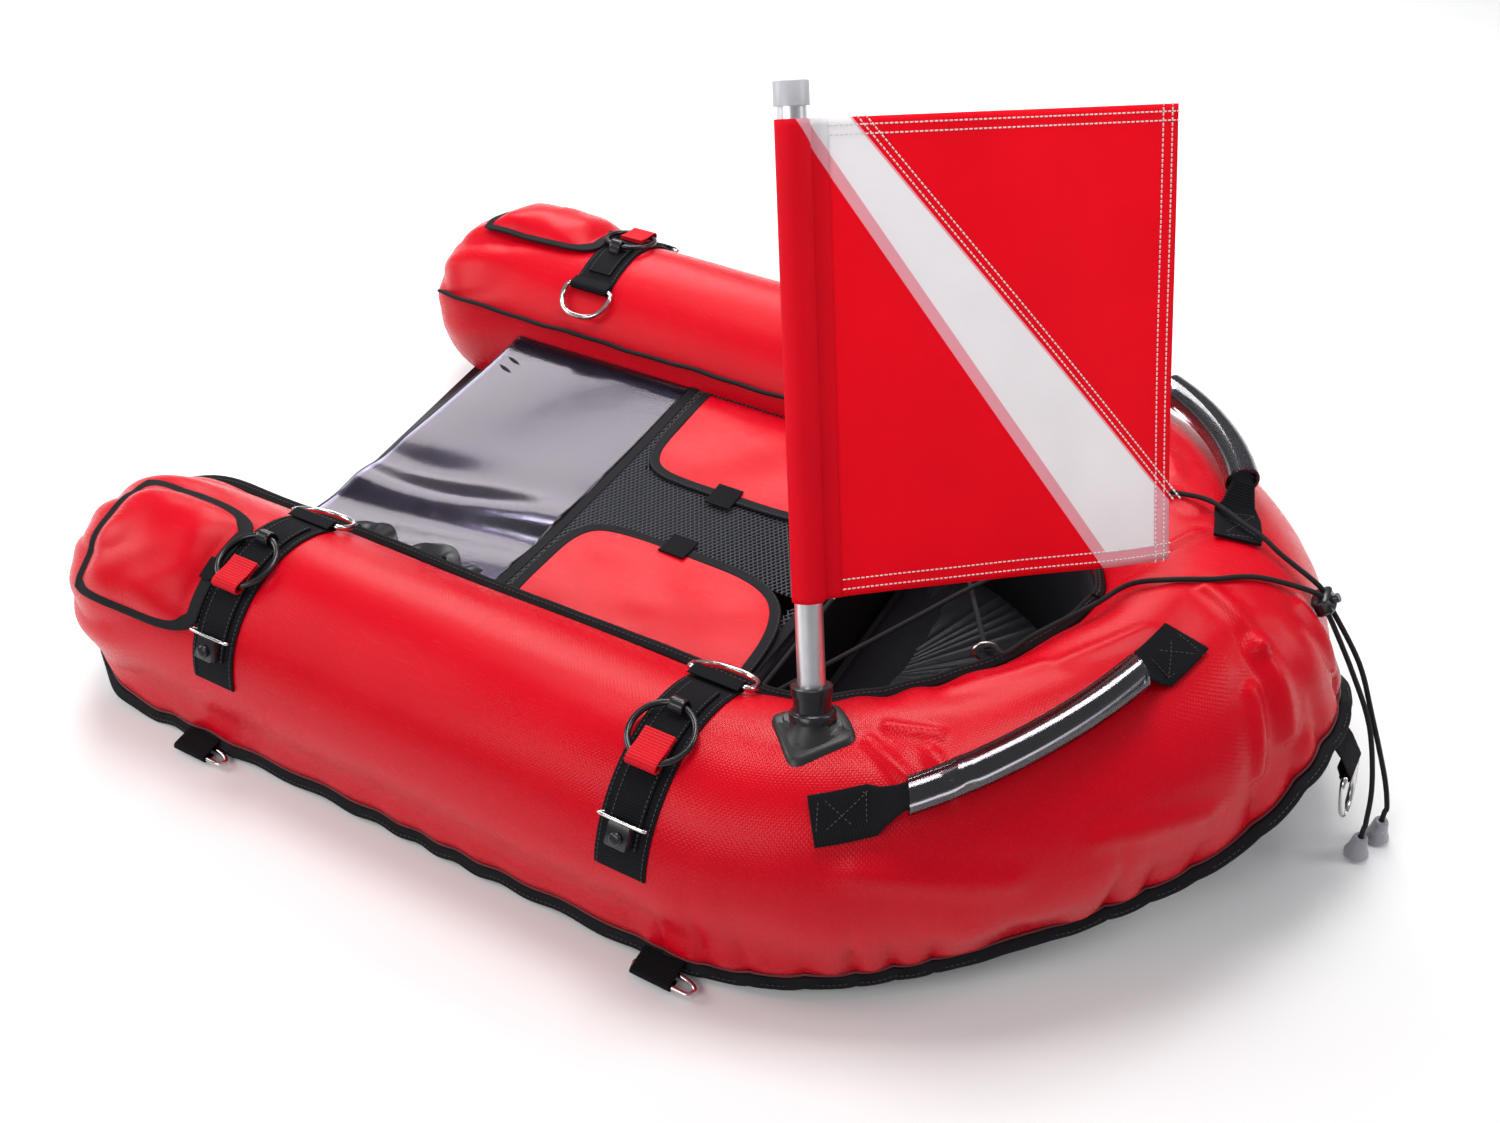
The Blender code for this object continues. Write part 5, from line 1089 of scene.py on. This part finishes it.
mast_place = placement(FOOT, FLY, LEAN)
rows, columns = cover_grid.shape[:2]
corners = [(r * columns + c, r * columns + c + 1, (r + 1) * columns + c + 1, (r + 1) * columns + c)
           for r in range(rows - 1) for c in range(columns - 1)]
cover_tree = BVHTree.FromPolygons(cover_grid.reshape(-1, 3).tolist(), corners)
turn = np.linspace(0, 2 * math.pi, 64, endpoint=False)
square = np.stack([np.cos(turn), np.sin(turn)], 1)
square /= ((np.abs(square) ** 6).sum(1) ** (1 / 6))[:, None]
rings = []
for reach, height, on_cover in ((0.0136, PLATE_TOP + 0.0030, False), (0.0142, PLATE_TOP - 0.0005, False),
                                (0.0150, 0.0068, True), (0.0182, 0.0064, True), (0.0192, 0.0046, True),
                                (0.0234, 0.0042, True), (0.0252, 0.0030, True), (0.0260, 0.0002, True)):
    row = []
    for a, b in square:
        blend = min(max((reach - 0.0150) / 0.0032, 0), 1)
        n = (a * blend + (1 - blend) * a / math.hypot(a, b), b * blend + (1 - blend) * b / math.hypot(a, b))
        point = mast_place @ Vector((n[0] * reach, n[1] * reach, height))
        if on_cover:
            hit = cover_tree.ray_cast(point + LEAN * 0.06, -LEAN)[0]
            point = (hit or point) + LEAN * height
        row.append(list(point))
    rings.append(row)
circle = square / np.linalg.norm(square, axis=1)[:, None]
rings.append(placed(mast_place, [(a * 0.0135, b * 0.0135, PLATE_TOP - 0.0016) for a, b in circle]))
fit(skinned("mast_base", np.array(rings), RUBBER, True, True), "float", "black_rubber", "mast_base")
collar = [(0.0104, -0.0018), (0.0170, -0.0010), (0.0170, 0.0040), (0.0160, 0.0052), (0.0138, 0.0060),
          (0.0138, 0.0170), (0.0152, 0.0178), (0.0152, 0.0236), (0.0146, 0.0240), (0.0104, 0.0240)]
collar = [(radius, PLATE_TOP + height) for radius, height in collar]
fit(lathe("mast_collar", collar, mast_place, 48, MOULDED), "float", "black_rubber")
SATIN = finish("satin aluminium", (0.78, 0.78, 0.80), 0.34, depth=0.00001, Metallic=1.0)
mast_line = [(0.0086, 0.0125), (MAST_R, 0.0125), (MAST_R, MAST_TOP), (0.0086, MAST_TOP)]
fit(lathe("mast", mast_line, mast_place, 48, SATIN), "mast", "mast_tube", "mast")
cap = [(0.0104, 0.4444), (0.0104, 0.4300), (0.0120, 0.4300), (0.0120, 0.4450), (0.0112, 0.4460),
       (0.0060, 0.4462)]
PALE = finish("pale plastic", (0.50, 0.50, 0.52), 0.35)
fit(lathe("mast_cap", cap, mast_place, 40, PALE, False), "mast", "bell_plastic", "mast_cap")

# Flag: red nylon with a white diagonal, sewn into a sleeve that turns on the mast.
# The cloth is stretched from the mast, with double hems and white topstitching. Where a hem lies behind the
# white, it shows pink.

FLAG_LOW, FLAG_TALL, FLAG_WIDE, SLEEVE_R = 0.100, 0.322, 0.276, 0.0114
# The stripe's two edges: how far they go out for each share of the drop, and where they start.
LOWER_EDGE, UPPER_EDGE = (0.774, 0.036), (0.949, 0.180)

FLAG, tree, wear = worn_material("flag cloth")
weave = woven(tree, 0.0007)
spot = add(tree, "ShaderNodeAttribute", attribute_name="flag place")
far, drop = add(tree, "ShaderNodeSeparateXYZ", {0: spot.outputs["Vector"]}).outputs[:2]
past_lower, past_upper = [calc(tree, "SUBTRACT", far, calc(tree, "MULTIPLY_ADD", drop, *edge))
                          for edge in (LOWER_EDGE, UPPER_EDGE)]
white_part = calc(tree, "MULTIPLY", calc(tree, "GREATER_THAN", past_lower, 0.0),
                  calc(tree, "LESS_THAN", past_upper, 0.0))
hem = calc(tree, "LESS_THAN", past_lower, 0.034)
for place, edge in ((past_upper, -0.006), (far, 0.955), (drop, 0.965)):
    hem = calc(tree, "MAXIMUM", hem, calc(tree, "GREATER_THAN", place, edge))
pale = add(tree, "ShaderNodeMix", {0: hem, 6: (0.92, 0.92, 0.93, 1), 7: (0.88, 0.50, 0.56, 1)},
           data_type="RGBA").outputs[2]
cloth = add(tree, "ShaderNodeMix", {0: white_part, 6: (0.90, 0.003, 0.022, 1), 7: pale}, data_type="RGBA")
tone = calc(tree, "MULTIPLY_ADD", wear["Blotch"], 0.10, 0.95)
shade = add(tree, "ShaderNodeVectorMath", {0: cloth.outputs[2], "Scale": tone}, operation="SCALE").outputs[0]
bump = add(tree, "ShaderNodeBump", {"Height": weave["Weave"], "Distance": 0.00004})
shader = tree.nodes["Principled BSDF"]
wire(tree, shader, {"Base Color": shade, "Normal": bump.outputs[0], "Specular IOR Level": 0.15,
                    "Roughness": calc(tree, "MULTIPLY_ADD", wear["Grain"], 0.2, 0.55)})
glow = add(tree, "ShaderNodeBsdfTranslucent", {"Color": shade})
thin = add(tree, "ShaderNodeMixShader", {0: 0.42, 1: shader.outputs[0], 2: glow.outputs[0]})
wire(tree, tree.nodes["Material Output"], {"Surface": thin.outputs[0]})


def flag_point(out, high, lift=0.0):
    """A point of the cloth, from its distance from the mast's axis and its height on the mast."""
    t = np.clip((out - 0.02) / 0.25, 0, 1)
    h = (high - FLAG_LOW) / FLAG_TALL
    wave = t * (0.0036 * np.sin(out / 0.050 + h * 2.2 + 0.5) + 0.0016 * np.sin(out / 0.021 + h * 5))
    return carried(np.stack(np.broadcast_arrays(out, wave + lift, high), -1), mast_place)


sleeve_turn = np.radians(np.linspace(20, 350, 28))
sleeve_out, sleeve_side = SLEEVE_R * np.cos(sleeve_turn), SLEEVE_R * np.sin(sleeve_turn)
outs, seam_outs = np.linspace(FLAG_WIDE, 0.016, 70), np.linspace(0.016, 0.024, 4)
heights = np.linspace(FLAG_LOW, FLAG_LOW + FLAG_TALL, 80)
rows = []
for high in heights:
    around = carried(np.stack([sleeve_out, sleeve_side, np.full(28, high)], 1), mast_place)
    rows.append(np.vstack([flag_point(outs, high), around, flag_point(seam_outs, high, -0.0012)]))
grid = np.array(rows)
flag = skinned("flag", grid, FLAG, False)
mark = flag.data.attributes.new("flag place", "FLOAT_VECTOR", "POINT")
marks = np.zeros(grid.shape)
marks[..., 0] = (np.concatenate([outs, sleeve_out, seam_outs]) + SLEEVE_R) / (FLAG_WIDE + SLEEVE_R)
marks[..., 1] = 1 - ((heights - FLAG_LOW) / FLAG_TALL)[:, None]
mark.data.foreach_set("vector", marks.ravel().astype(np.float32))
fit(solidified(flag, 0.0006), "flag", "flag_cloth", "flag")
WHITE_THREAD = finish("white thread", (0.80, 0.79, 0.77), 0.6)
t = np.linspace(0, 1, 60)
up, flag_top = FLAG_LOW + FLAG_TALL * t, FLAG_LOW + FLAG_TALL
rows = [flag_point(0.0185, up)]
rows += [flag_point(0.016 + (FLAG_WIDE - 0.016) * t, high)
         for high in (FLAG_LOW + 0.0050, FLAG_LOW + 0.0120, flag_top - 0.0050, flag_top - 0.0110)]
rows += [flag_point(FLAG_WIDE - inset, up) for inset in (0.0045, 0.0115)]
slope, first = UPPER_EDGE
for inset in (0.0040, 0.0100):
    out = (first + slope * t * 0.86) * (FLAG_WIDE + SLEEVE_R) - SLEEVE_R + inset
    rows.append(flag_point(out, flag_top - FLAG_TALL * t * 0.86))
stitched("flag_stitches", rows, "flag", "flag_cloth", WHITE_THREAD, 0.0034, 0.00065)

low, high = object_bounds()
